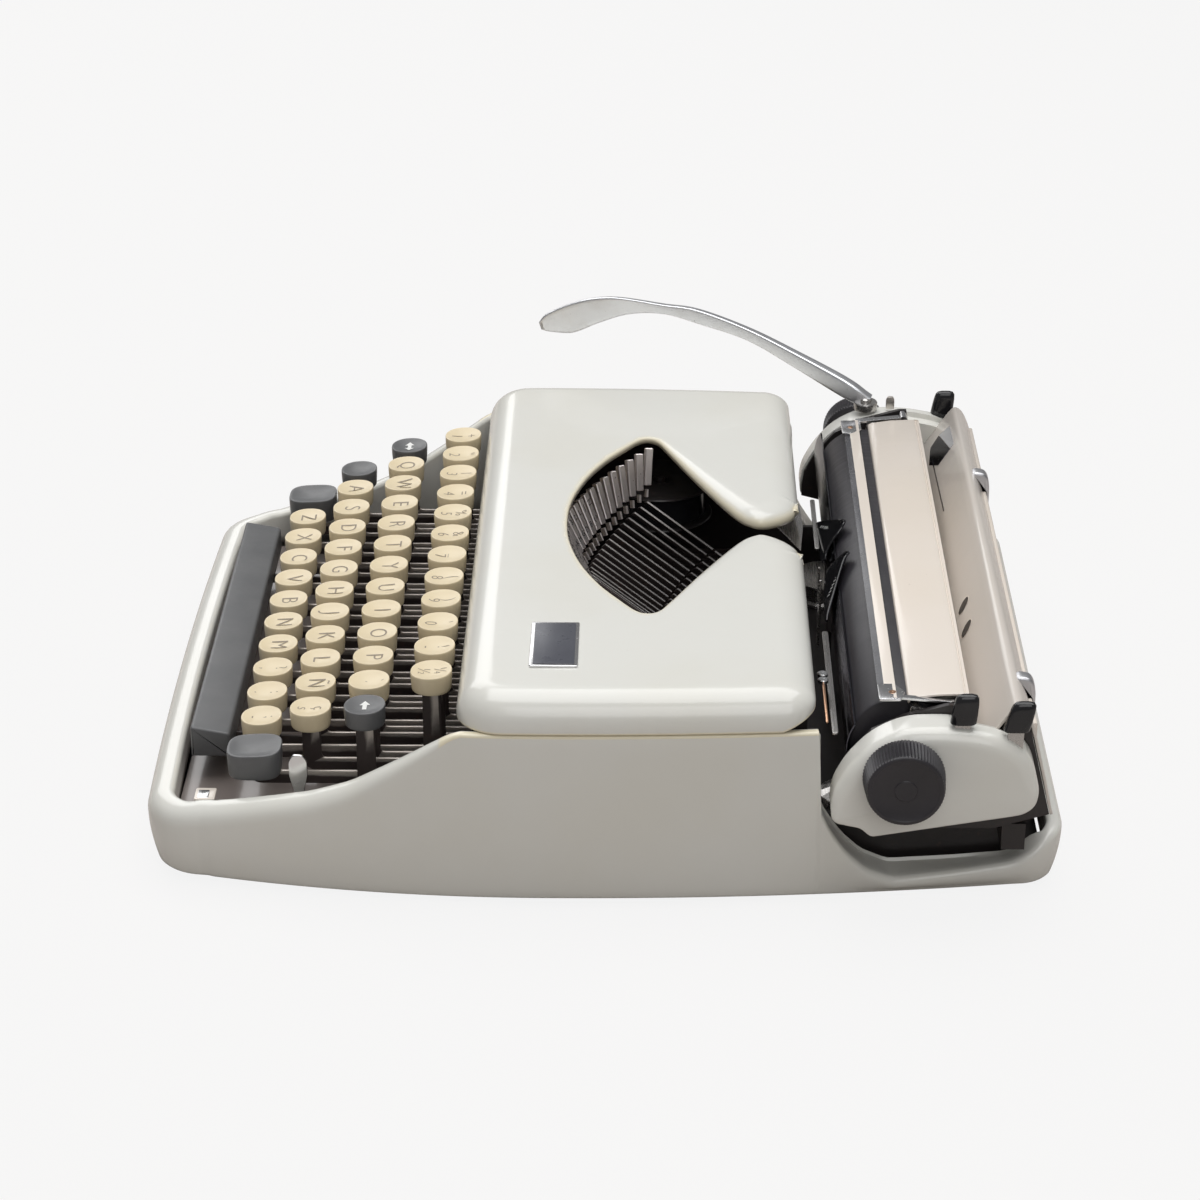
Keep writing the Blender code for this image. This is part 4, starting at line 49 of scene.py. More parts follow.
# camera: 99 mm lens on a square frame, standing to the typist's right
camera = bpy.data.objects.new("camera", bpy.data.cameras.new("camera"))
camera.data.lens = 99.0
camera.data.sensor_width = 36.0
camera.data.clip_start = 0.05
camera.location = (1.116, 0.0171, 0.5842)
aim = Vector((-0.9013, -0.0143, -0.4329))
camera.rotation_euler = aim.to_track_quat("-Z", "Y").to_euler()
bpy.context.scene.collection.objects.link(camera)
bpy.context.scene.camera = camera


# finishes

class Value:
    """A shader socket that can be added to and multiplied: each sign adds its Math node."""

    def __init__(self, graph, socket):
        self.graph = graph
        self.socket = socket

    def maths(self, operation, other):
        return self.graph.node("ShaderNodeMath", {"operation": operation}, {0: self, 1: other})

    def __add__(self, other):
        return self.maths("ADD", other)

    def __sub__(self, other):
        return self.maths("SUBTRACT", other)

    def __mul__(self, other):
        return self.maths("MULTIPLY", other)

    def __rsub__(self, other):
        return (self * -1.0) + other

    __radd__ = __add__
    __rmul__ = __mul__

    def ease(self, low, high):
        """0 below low, 1 above high, and a smooth step between them."""
        settings = {"interpolation_type": "SMOOTHSTEP"}
        return self.graph.node("ShaderNodeMapRange", settings, {0: self, 1: low, 2: high})


class Graph:
    """A node tree in which one call makes each node."""

    def __init__(self, tree):
        self.tree = tree

    def feed(self, socket, value):
        """Links a worked-out value to a socket, or sets a number, a vector or a colour on it."""
        if isinstance(value, Value):
            self.tree.links.new(value.socket, socket)
        elif isinstance(value, tuple) and len(value) == 3 and socket.type == "RGBA":
            socket.default_value = value + (1.0,)
        else:
            socket.default_value = value

    def node(self, kind, settings, inputs, output=0):
        """A node of a kind, with its settings first and then the values or links of its sockets."""
        made = self.tree.nodes.new(kind)
        for key, value in settings.items():
            setattr(made, key, value)
        for key, value in inputs.items():
            self.feed(made.inputs[key], value)
        return Value(self, made.outputs[output])

    def show_plain(self, plain, lit, end, share=1.0):
        """Ends the tree in its lit shader, which camera rays see as a plain one by a share."""
        seen = self.node("ShaderNodeLightPath", {}, {}, "Is Camera Ray") * share
        lit = Value(self, self.tree.nodes[lit].outputs[0])
        both = self.node("ShaderNodeMixShader", {}, {0: seen, 1: lit, 2: plain})
        self.feed(self.tree.nodes[end].inputs[0], both)


class Finish(Graph):
    """A procedural material: a Principled shader fed with numbers or values worked out over the surface."""

    def __init__(self, name, **sockets):
        self.material = bpy.data.materials.new(name)
        self.material.use_nodes = True
        super().__init__(self.material.node_tree)
        self.place = self.node("ShaderNodeTexCoord", {}, {}, "Object")
        self.set(**sockets)

    def set(self, **sockets):
        """Feeds the shader's sockets, named with underscores."""
        shader = self.tree.nodes["Principled BSDF"]
        for key, value in sockets.items():
            self.feed(shader.inputs[key.replace("_", " ").title().replace("Ior", "IOR")], value)
        return self

    def noise(self, scale, detail=3.0, roughness=0.5, stretch=(1, 1, 1)):
        """Noise over the object coordinates, stretched along each axis."""
        where = self.node("ShaderNodeMapping", {}, {"Vector": self.place, "Scale": stretch})
        return self.node("ShaderNodeTexNoise", {}, {"Vector": where, "Scale": scale, "Detail": detail,
                                                    "Roughness": roughness})

    def mark(self, name):
        """A number painted on the piece's points."""
        return self.node("ShaderNodeAttribute", {"attribute_name": name}, {}, "Fac")

    def mix(self, share, first, second):
        """From the first colour to the second by a share."""
        return self.node("ShaderNodeMix", {"data_type": "RGBA"}, {0: share, 6: first, 7: second}, 2)

    def relief(self, height, distance, strength=1.0):
        return self.set(normal=self.node("ShaderNodeBump", {}, {"Height": height, "Distance": distance,
                                                                "Strength": strength}))


def tinted(colour, shares, lift=0.0):
    """A colour whose channels are each multiplied by a share of their own and lifted alike."""
    return tuple(c * k + lift for c, k in zip(colour, shares))


def enamel(name, colour, aged, dirt=0.10):
    """Gloss stove enamel: faint clouds, yellow by the mark wear, darkened towards brown by the mark of painted
    shade, a fine ripple.
    """
    f = Finish(name)
    cloud = f.noise(14.0, 3.0)
    fine = f.noise(160.0, 4.0, 0.6)
    wear = (f.mark("wear") * 1.15 + (fine - 0.5) * 0.35).ease(0.25, 0.95)
    base = f.mix(cloud.ease(0.35, 0.75), colour, tinted(colour, (0.975, 0.965, 0.94)))
    base = f.mix(wear * 0.75, base, aged)
    # painted shade: where a piece's mark says so, the enamel darkens to dark brown, at bottoms, under edges and
    # down into openings
    soil = (f.mark("soil") * (0.6 + fine * 0.8)).ease(0.1, 1.0)
    base = f.mix(soil * 0.85, base, (0.20, 0.165, 0.125))
    speck = f.noise(420.0, 2.0, 0.6).ease(0.74, 0.80)
    base = f.mix(speck * dirt, base, (0.30, 0.25, 0.20))
    f.set(base_color=base, roughness=0.17 + fine * 0.10 + wear * 0.12, coat_weight=0.35, coat_roughness=0.06,
          specular_ior_level=0.5)
    return f.relief(f.noise(95.0, 2.0), 0.00012, 0.55)


def moulded(name, colour, dark, roughness=0.32, grain=900.0, depth=0.00002):
    """Moulded plastic: slight mottling, polish worn uneven by fingers and a fine grain."""
    f = Finish(name)
    cloud = f.noise(55.0, 3.0)
    touch = f.noise(260.0, 3.0, 0.6)
    base = f.mix(cloud.ease(0.3, 0.8), colour, dark)
    f.set(base_color=base, roughness=(touch - 0.5) * 0.22 + roughness)
    return f.relief(f.noise(grain, 2.0), depth, 0.5)


def plated(name, colour, roughness=0.14, haze=0.16, pits=0.35):
    """Plated metal: bright, with hazy patches and small dull pits."""
    f = Finish(name)
    patch = f.noise(90.0, 4.0, 0.6)
    pit = f.noise(850.0, 2.0, 0.7).ease(0.66, 0.76)
    base = f.mix(pit * pits, colour, (0.16, 0.12, 0.09))
    base = f.mix(patch.ease(0.45, 0.8) * 0.35, base, tinted(colour, (0.80, 0.77, 0.74)))
    f.set(base_color=base, metallic=1.0 - pit * 0.4, roughness=patch * haze + roughness + pit * 0.25)
    return f.relief(patch, 0.00004, 0.5)


def japanned(name, colour, painted_highlight, roughness=0.35):
    """Dark lacquered steel with patches of rust brown; where the mark edge is 1 it turns to a paler, more
    metallic colour: a painted highlight on the faces that point up.
    """
    f = Finish(name)
    cloud = f.noise(70.0, 4.0, 0.6)
    # the mark edge is set on faces that point up: the paler colour there is a painted highlight
    edge = (f.mark("edge") + (cloud - 0.5) * 0.5).ease(0.4, 0.8)
    rust = f.noise(240.0, 4.0, 0.65).ease(0.58, 0.72)
    base = f.mix(rust * 0.45, colour, tinted(colour, (1.9, 1.2, 0.9), 0.012))
    base = f.mix(edge, base, painted_highlight)
    f.set(base_color=base, metallic=edge * 0.85 + 0.1, roughness=(cloud - 0.5) * 0.3 + roughness)
    return f.relief(cloud, 0.00006, 0.5)


def brushed(name, colour, stretch, roughness=0.28):
    """Steel with fine drawn lines across it."""
    f = Finish(name)
    lines = f.noise(1500.0, 2.0, 0.5, stretch)
    stain = f.noise(60.0, 4.0, 0.6)
    base = f.mix(stain.ease(0.5, 0.85) * 0.6, colour, tinted(colour, (0.62, 0.55, 0.48)))
    f.set(base_color=base, metallic=0.95, roughness=(lines - 0.5) * 0.25 + roughness)
    return f.relief(lines, 0.00002, 0.5)


def rubbery(name, colour, worn, roughness=0.55):
    """Rubber: matt, greyer where it has been handled, with faint rings."""
    f = Finish(name)
    cloud = f.noise(45.0, 4.0, 0.6, (0.35, 1, 1))
    rings = f.noise(700.0, 1.0, 0.5, (1.0, 0.02, 0.02))
    base = f.mix(cloud.ease(0.35, 0.85), colour, worn)
    f.set(base_color=base, roughness=(rings - 0.5) * 0.15 + (cloud - 0.5) * 0.2 + roughness)
    return f.relief(rings, 0.00002, 0.4)


BODY = enamel("light_enamel", (0.775, 0.770, 0.725), (0.83, 0.74, 0.52))
# the rear panel's enamel, set a shade darker than the panel's own paint: painted shade
PANEL_ENAMEL_SHADED = enamel("panel_enamel_shaded", (0.67, 0.62, 0.57), (0.70, 0.62, 0.50), 0.25)
IVORY = enamel("ivory_enamel", (0.82, 0.745, 0.67), (0.82, 0.71, 0.56), 0.30)
CREAM = moulded("cream_plastic", (0.770, 0.655, 0.450), (0.740, 0.620, 0.410), 0.34)
INK = Finish("legend_grey", base_color=(0.30, 0.25, 0.19), roughness=0.6)
WHITE = Finish("mark_white", base_color=(0.80, 0.80, 0.78), roughness=0.5)
BLACK = moulded("black_plastic", (0.112, 0.114, 0.118), (0.140, 0.141, 0.143), 0.36, 1400.0, 0.00003)
RUBBER = rubbery("roller_rubber", (0.022, 0.020, 0.025), (0.045, 0.043, 0.048), 0.42)
FOOT_RUBBER = rubbery("foot_rubber", (0.030, 0.028, 0.028), (0.060, 0.056, 0.052), 0.7)
CHROME = plated("chrome", (0.80, 0.80, 0.81))
NICKEL = plated("worn_nickel", (0.66, 0.62, 0.58), 0.24, 0.25, 0.6)
DARK = japanned("dark_lacquer", (0.030, 0.026, 0.026), (0.20, 0.17, 0.15))
# key levers: dark lacquer with a pale painted highlight on the faces that point up
LEVER = japanned("lever_steel", (0.050, 0.038, 0.036), (0.62, 0.57, 0.53), 0.42)
STEEL = brushed("drawn_steel", (0.50, 0.485, 0.47), (0.03, 1, 1))
SATIN = plated("satin_steel", (0.66, 0.66, 0.68), 0.34, 0.12, 0.4)
SMOKED = plated("dark_chrome", (0.10, 0.10, 0.12), 0.12, 0.10, 0.1)
COPPER = plated("copper", (0.66, 0.40, 0.26), 0.22, 0.15, 0.3)
TYPE = plated("type_metal", (0.96, 0.89, 0.87), 0.30, 0.2, 0.8)
GLOSS = moulded("black_gloss", (0.012, 0.012, 0.014), (0.020, 0.020, 0.022), 0.12, 500.0)
KNOB = moulded("knob_plastic", (0.022, 0.020, 0.024), (0.030, 0.027, 0.033), 0.42, 1400.0, 0.00003)
SCALE = moulded("scale_grey", (0.060, 0.060, 0.068), (0.10, 0.10, 0.11), 0.25)
BADGE = moulded("panel_grey", (0.075, 0.078, 0.095), (0.088, 0.092, 0.110), 0.30, 600.0)
# typebars: dark steel with a near-white painted highlight along their upper edges
BAR = japanned("typebar_steel", (0.075, 0.060, 0.058), (0.98, 0.95, 0.93), 0.36)
INKED = Finish("type_ink", base_color=(0.03, 0.028, 0.03), roughness=0.5)
LEVER_PALE = plated("pale_steel", (0.86, 0.87, 0.90), 0.30, 0.10, 0.3)
FLOOR_PAINT = enamel("well_paint", (0.22, 0.19, 0.178), (0.27, 0.22, 0.18), 0.6)

CAD_FINISHES = {
    BODY: "housing top_cover end_cover_left end_cover_right",
    CREAM: "key_bank key_a key_s key_d key_f key_g key_h key_j key_k key_l key_n_tilde key_accent",
    BLACK: "shift_lock_key margin_release_key backspace_key shift_key_left shift_key_right space_bar "
           "card_holder platen_knob_left platen_knob_right paper_release_lever carriage_release_left "
           "carriage_release_right",
    FOOT_RUBBER: "foot_front_left foot_front_right foot_rear_left foot_rear_right",
    RUBBER: "platen feed_roller",
    CHROME: "name_plate ribbon_selector typebar ribbon_vibrator paper_support margin_stop_left "
            "margin_stop_right return_lever line_space_selector",
    DARK: "base_plate key_comb ribbon_spool_left ribbon_spool_right inner_frame carriage_frame",
    STEEL: "typebar_segment line_space_ratchet paper_pan mainspring_drum margin_bell",
    PANEL_ENAMEL_SHADED: "rear_panel",
    IVORY: "case_catch paper_table paper_bail margin_rail",
    FLOOR_PAINT: "front_apron",
}
for finish, names in CAD_FINISHES.items():
    for cad_name in names.split():
        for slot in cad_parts[cad_name].material_slots:
            slot.material = finish.material


# shapes

def soften(table, share, width):
    """A table of pairs read at a share and rounded off: the bell-weighted mean of readings around it."""
    x, y = np.array(table, float).T
    steps = np.linspace(-2.0, 2.0, 11)
    bell = np.exp(-steps ** 2 / 2)
    return sum(w * np.interp(share + s * width, x, y) for s, w in zip(steps, bell)) / bell.sum()


def arc(cx, cy, radius, start, end, count):
    """Points at equal angles, in degrees, on a circle."""
    a = np.radians(np.linspace(start, end, count))
    return np.stack([cx + radius * np.cos(a), cy + radius * np.sin(a)], 1)


def round_turn(count):
    """Equal angles once round."""
    return np.arange(count) / count * TURN


def square_turn(count, power):
    """Cosines and sines once round, raised to a power with their signs kept: a circle at 1, a square at 0."""
    c, s = np.cos(round_turn(count)), np.sin(round_turn(count))
    return np.sign(c) * np.abs(c) ** power, np.sign(s) * np.abs(s) ** power


def oblong(x0, y0, x1, y1):
    """The four corners of a rectangle."""
    return [(x0, y0), (x1, y0), (x1, y1), (x0, y1)]


def rounded(points, radius, steps=5):
    """A closed outline, each corner replaced by a quadratic curve that starts and ends a radius away."""
    p = np.array(points, float)
    before, after = np.roll(p, 1, 0) - p, np.roll(p, -1, 0) - p
    reach_a = np.linalg.norm(before, axis=1, keepdims=True)
    reach_b = np.linalg.norm(after, axis=1, keepdims=True)
    r = np.minimum(np.reshape(radius, (-1, 1)), 0.48 * np.minimum(reach_a, reach_b))
    t = np.linspace(0, 1, steps)[None, :, None]
    first = (p + before / reach_a * r)[:, None]
    last = (p + after / reach_b * r)[:, None]
    return ((1 - t) ** 2 * first + 2 * t * (1 - t) * p[:, None] + t ** 2 * last).reshape(-1, 2)


def eased(t):
    """A smooth step from 0 to 1: 3 t^2 - 2 t^3."""
    t = np.clip(t, 0, 1)
    return t * t * (3 - 2 * t)


def run_along(line):
    """The length of a line up to each of its points."""
    return np.concatenate([[0], np.cumsum(np.linalg.norm(np.diff(line, axis=0), axis=1))])


def resample(points, count, closed=True):
    """The same line with its points at equal steps along it."""
    p = np.array(points, float)
    if closed:
        p = np.concatenate([p, p[:1]])
    run = run_along(p)
    at = np.linspace(0, run[-1], count, endpoint=not closed)
    return np.stack([np.interp(at, run, p[:, k]) for k in range(p.shape[1])], 1)


def cubic(a, b, c, d, t):
    """The Catmull-Rom cubic from b to c at a share t, with their neighbours a and d."""
    square, cube = 2 * a - 5 * b + 4 * c - d, 3 * b - a - 3 * c + d
    return 0.5 * (2 * b + (c - a) * t + square * t ** 2 + cube * t ** 3)


def smooth_loop(points, count):
    """A closed curve through points, each stretch a cubic of its four neighbours."""
    p = np.array(points, float)
    t = np.linspace(0, 1, 13)[:-1][None, :, None]
    curve = cubic(*(np.roll(p, k, 0)[:, None] for k in (1, 0, -1, -2)), t)
    return resample(curve.reshape(-1, p.shape[1]), count)


def smooth_line(points, count):
    """An open curve through points by the same cubic, its ends held, with equal shares to each stretch."""
    p = np.array(points, float)
    p = np.concatenate([2 * p[:1] - p[1:2], p, 2 * p[-1:] - p[-2:-1]])
    at = np.linspace(0, len(points) - 1, count)
    k = np.minimum(at.astype(int), len(points) - 2)
    return cubic(*(p[k + n] for n in range(4)), (at - k)[:, None])


def outward(outline):
    """Unit normals of an anticlockwise outline, each across the line between its two neighbours."""
    step = np.roll(outline, -1, 0) - np.roll(outline, 1, 0)
    n = np.stack([step[:, 1], -step[:, 0]], 1)
    return n / np.linalg.norm(n, axis=1, keepdims=True)


def anticlockwise(outline):
    """The outline, turned round if its area says that it runs clockwise."""
    x, y = np.array(outline, float).T
    return np.array(outline, float)[::-1 if np.sum(x * np.roll(y, -1) - y * np.roll(x, -1)) < 0 else 1]


def skin(rings, wrap=True, caps=(False, False)):
    """Quads between rows of points, with a flat face over the first and last row where it is asked for."""
    rings = np.array(rings, float)
    rows, count = rings.shape[:2]
    index = np.arange(rows * count).reshape(rows, count)
    if wrap:
        right = np.roll(index, -1, 1)
        quads = np.stack([index[:-1], right[:-1], right[1:], index[1:]], -1)
    else:
        quads = np.stack([index[:-1, :-1], index[:-1, 1:], index[1:, 1:], index[1:, :-1]], -1)
    faces = quads.reshape(-1, 4).tolist()
    if caps[0]:
        faces.append(index[0][::-1].tolist())
    if caps[1]:
        faces.append(index[-1].tolist())
    return rings.reshape(-1, 3), faces


# for each axis, where a shape's own three axes point
FRAMES = {"Z": ((1, 0, 0), (0, 1, 0), (0, 0, 1)), "X": ((0, 1, 0), (0, 0, 1), (1, 0, 0)),
          "Y": ((1, 0, 0), (0, 0, 1), (0, -1, 0))}


def lay(points, axes, centre):
    """A shape's own points turned to a named axis, or to three axes given, and moved to a centre."""
    basis = np.array(FRAMES[axes] if isinstance(axes, str) else axes, float)
    return np.asarray(points, float) @ basis + np.array(centre, float)


def slab(outline, thickness, axes, centre, edge, steps):
    """A flat outline given thickness, its edges rounded: rings step in by 1 - cos and up by sin."""
    outline = anticlockwise(outline)
    n = outward(outline)
    a = np.linspace(0, np.pi / 2, steps + 1)
    inset = edge * (1 - np.cos(a))
    rise = thickness / 2 - edge + edge * np.sin(a)
    offsets = np.concatenate([inset[::-1], inset])
    heights = np.concatenate([-rise[::-1], rise])
    rings = [np.column_stack([outline - n * o, np.full(len(outline), h)]) for o, h in zip(offsets, heights)]
    return skin(lay(rings, axes, centre), caps=(True, True))


def lathe(profile, count, axes, centre):
    """A profile of radius and height turned about its axis; a radius of 0 is closed by a flat face."""
    profile = np.array(profile, float)
    a = round_turn(count)
    rings = np.stack([profile[:, :1] * np.cos(a), profile[:, :1] * np.sin(a),
                      np.repeat(profile[:, 1:], count, 1)], -1)
    return skin(lay(rings, axes, centre), caps=(True, True))


def tube(path, radius, count=10):
    """A round section carried along a path, each ring across the line between its two neighbours."""
    p = np.array(path, float)
    heading = np.gradient(p, axis=0)
    heading /= np.linalg.norm(heading, axis=1, keepdims=True)
    slanted = (0.0, 0.31, 0.95)  # a way that no path here runs along
    side = np.cross(heading, slanted)
    side /= np.linalg.norm(side, axis=1, keepdims=True)
    up = np.cross(side, heading)
    a = round_turn(count)[None, :, None]
    rings = p[:, None] + radius * (side[:, None] * np.cos(a) + up[:, None] * np.sin(a))
    return skin(rings, caps=(True, True))


def piece(name, parts, finish, body, node=None, marks=None, wall=0.0, sharp=32.0, closed=True):
    """A mesh object whose parts are one mesh, riding on a body and standing for a CAD node if one is named.
    Marks are numbers on its points, wall a thickness given inwards, and sharp the least angle of an edge."""
    if isinstance(parts, tuple):
        parts = [parts]
    start = np.cumsum([0] + [len(v) for v, _ in parts])
    verts = np.concatenate([v for v, _ in parts]) * MM
    faces = [[i + s for i in face] for (_, fs), s in zip(parts, start) for face in fs]
    mesh = bpy.data.meshes.new(name)
    mesh.from_pydata(verts.tolist(), [], faces)
    mesh.validate()
    if closed:
        bm = bmesh.new()
        bm.from_mesh(mesh)
        bmesh.ops.recalc_face_normals(bm, faces=bm.faces)
        bm.to_mesh(mesh)
        bm.free()
    for key, values in (marks or {}).items():
        mesh.attributes.new(key, "FLOAT", "POINT").data.foreach_set("value", np.asarray(values, np.float32))
    mesh.polygons.foreach_set("use_smooth", np.ones(len(mesh.polygons), bool))
    mesh.set_sharp_from_angle(angle=math.radians(sharp))
    mesh.materials.append(finish.material)
    made = bpy.data.objects.new(name, mesh)
    bpy.context.scene.collection.objects.link(made)
    if wall:
        shell = made.modifiers.new("wall", "SOLIDIFY")
        shell.thickness = wall * MM
        shell.offset = -1.0
    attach(made, body)
    if node:
        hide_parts(node)


# housing and ribbon cover

FRONT, REAR, WIDEST = -158.5, 161.0, -20.0
HALF, FRONT_BOW, REAR_BOW = 142.8, 19.3, 14.8
MIDDLE = 2.7  # the body's middle in X, where the keyboard's is 0
SEAM, COVER_FRONT, COVER_REAR, COVER_TOP = 67.5, -47.0, 74.0, 80.8
WALL_END = 75.4  # where the side falls to the ledge behind the cover
FRONT_RIM, LOW_LEDGE, LEDGE_RISE = 28.5, 9.5, 26.5
THICK_ROUND, THIN_ROUND, LIP = 6.5, 1.2, 2.0
UNDER_WELL, UNDER_COVER = 17.3, 60.8  # where the inner lip ends
BED_HALF = 127.9  # half the width of the opening behind the cover
# pairs of share along Y and share of the height, for the rim ahead of the cover and the ledge behind it
RIM = ((0.0, 0.0), (0.11, 0.0), (0.27, 0.08), (0.40, 0.165), (0.54, 0.26), (0.67, 0.40), (0.825, 0.67),
       (0.92, 0.85), (1.0, 1.0))
LEDGE = ((0.0, 1.0), (0.036, 0.74), (0.107, 0.40), (0.19, 0.15), (0.30, 0.0), (0.57, 0.06), (0.786, 0.13),
         (0.87, 0.28), (0.93, 0.43), (1.0, 0.51))


def half_width(y):
    """Half the body's width, less a bow that grows with the square of the way from the widest place."""
    ahead = y < WIDEST
    share = np.where(ahead, (WIDEST - y) / (WIDEST - FRONT), (y - WIDEST) / (REAR - WIDEST))
    return HALF - np.where(ahead, FRONT_BOW, REAR_BOW) * share ** 2


def plan(front, rear, front_radius, rear_radius, bow):
    """Right half of an outline seen from above: bowed front, quarter circle, side, quarter circle, rear."""
    fx = float(half_width(np.array(front + front_radius))) - front_radius
    rx = float(half_width(np.array(rear - rear_radius))) - rear_radius
    s = np.linspace(0, 1, 30)[:-1]
    side = np.linspace(front + bow + front_radius, rear - rear_radius, 120)[1:-1]
    return np.concatenate([
        np.stack([fx * s, front + bow * s ** 2], 1),
        arc(fx, front + bow + front_radius, front_radius, -90, 0, 24),
        np.stack([half_width(side), side], 1),
        arc(rx, rear - rear_radius, rear_radius, 0, 90, 20),
        np.stack([rx * s[::-1][:-1], np.full(len(s) - 1, rear)], 1), [[0, rear]]])


def mirrored(half):
    """A half outline from the middle of the front to the middle of the rear, with its other half."""
    return np.concatenate([half, (half * (-1, 1))[-2:0:-1]])


def closer(half, low, high, count):
    """A half outline with points added to its side between two places in Y, where its height changes fast."""
    x, y = half.T
    extra = np.linspace(low, high, count)
    first, last = (int(np.argmax((y > place) & (x > 60.0))) for place in (low, high))
    return np.concatenate([half[:first], np.stack([half_width(extra), extra], 1), half[last:]])


def housing_shape():
    """Skin over the plan, each ring one step along its section: tucked foot, side, rim, flat, inner lip."""
    half = resample(plan(FRONT, REAR, 21.0, 16.0, 2.0), 260, closed=False)
    outline = mirrored(closer(half, 72.0, 80.0, 40)) + (MIDDLE, 0)
    inward = -outward(outline)
    x, y = outline.T
    ahead, behind = y < COVER_FRONT, y > WALL_END - 1.0
    rise = soften(RIM, (y - FRONT) / (COVER_FRONT - FRONT), 0.022)
    fall = soften(LEDGE, (y - WALL_END - 1.4) / (REAR - WALL_END - 1.4), 0.012)
    drop = eased((y - WALL_END + 0.6) / 2.0)
    ledge = LOW_LEDGE + LEDGE_RISE * fall
    top = np.where(ahead, FRONT_RIM + (SEAM - FRONT_RIM) * rise, SEAM)
    top = np.where(behind, SEAM + (ledge - SEAM) * drop, top)
    radius = np.where(ahead, THICK_ROUND + (THIN_ROUND - THICK_ROUND) * np.clip(rise, 0, 1) ** 2, THIN_ROUND)
    radius = np.where(behind, THIN_ROUND * (1 + drop), radius)
    flat = 1.2 + np.where(behind, np.maximum(np.abs(x) - BED_HALF, 0) * drop, 0)
    foot = np.where(ahead, UNDER_WELL, UNDER_COVER)
    foot = np.where(behind, UNDER_COVER + (np.maximum(ledge - 5.5, 5.8) - UNDER_COVER) * drop, foot)
    rows, wear, soil = [], [], []

    def ring(offset, height, worn=0.0, soiled=0.0):
        one = np.ones(len(x))
        rows.append(np.column_stack([outline + inward * (offset * one)[:, None], height * one]))
        wear.append(worn * one)
        soil.append(soiled * one)

    seam_place = ((y > COVER_FRONT - 6) & (y < WALL_END + 1)).astype(float)
    well = (ahead & (y > FRONT)).astype(float)
    # the last number of each ring is its painted shade: on the foot rings, the inner lip, and down the well's
    # inner wall, darker the deeper it goes
    ring(4.0, 3.0, 0, 0.6)
    for a in np.radians([0, 30, 60, 90]):
        ring(2.5 + 1.4 * (1 - math.sin(a)), 3.0 + 1.4 * (1 - math.cos(a)), 0.1, 0.25)
    for share in np.linspace(0.06, 1.0, 12):
        ring(2.5 * (1 - share) ** 2, 4.4 + (top - radius - 4.4) * share, 0.25 * seam_place * share ** 12, 0)
    for a in np.radians(np.linspace(0, 90, 9)[1:]):
        ring(radius * (1 - math.cos(a)), top - radius + radius * math.sin(a), seam_place * 0.8, 0)
    for share in (0.25, 0.5, 0.75, 1.0):
        ring(radius + flat * share, top - 1.2 * np.clip((flat - 2) / 8, 0, 1) * math.sin(share * math.pi / 2),
             seam_place * 0.8, 0)
    for a in np.radians([70, 45, 20, 0]):
        ring(radius + flat + LIP * math.cos(a), top - LIP + LIP * math.sin(a), 0.35 * well, 0.15)
    for share in (0.3, 0.7, 1.0):
        ring(radius + flat + LIP, top - LIP + (foot - top + LIP) * share, 0.15 * well, 0.5 * share)
    return skin(rows), np.concatenate(wear), np.concatenate(soil)


shape, wear, soil = housing_shape()
piece("housing_shell", shape, BODY, "housing", "housing", {"wear": wear, "soil": soil}, 1.1, 50, closed=False)

# outline of the keyhole's right half, as shares of its half width and its depth
OPENING = ((0.0, 0.0), (0.23, 0.014), (0.48, 0.066), (0.70, 0.146), (0.865, 0.233), (0.97, 0.297),
           (1.0, 0.343), (0.97, 0.389), (0.865, 0.435), (0.57, 0.550), (0.31, 0.660), (0.155, 0.735),
           (0.096, 0.787), (0.079, 0.827), (0.094, 0.873), (0.15, 0.937), (0.22, 0.978), (0.30, 1.0))
OPENING_HALF, OPENING_FRONT = 78.5, -12.7
COVER_ROLL, EDGE_ROLL, COVER_EDGE = 11.5, 0.9, 1.4
SEARCH = 4  # steps between the points that are tried first


def nearest(points, line):
    """Distance from each point to a line of straight steps, and the number of the step's first point."""
    far = ((points[:, None] - line[None, ::SEARCH]) ** 2).sum(2).argmin(1) * SEARCH
    best = np.full(len(points), 1e9)
    where = np.zeros(len(points), int)
    for k in range(-SEARCH - 1, SEARCH + 2):
        first = np.clip(far + k, 0, len(line) - 2)
        a, b = line[first], line[first + 1]
        step = b - a
        t = np.clip(((points - a) * step).sum(1) / np.maximum((step ** 2).sum(1), 1e-12), 0, 1)
        gap = np.linalg.norm(a + step * t[:, None] - points, axis=1)
        better = gap < best
        best = np.where(better, gap, best)
        where = np.where(better, first, where)
    return best, where


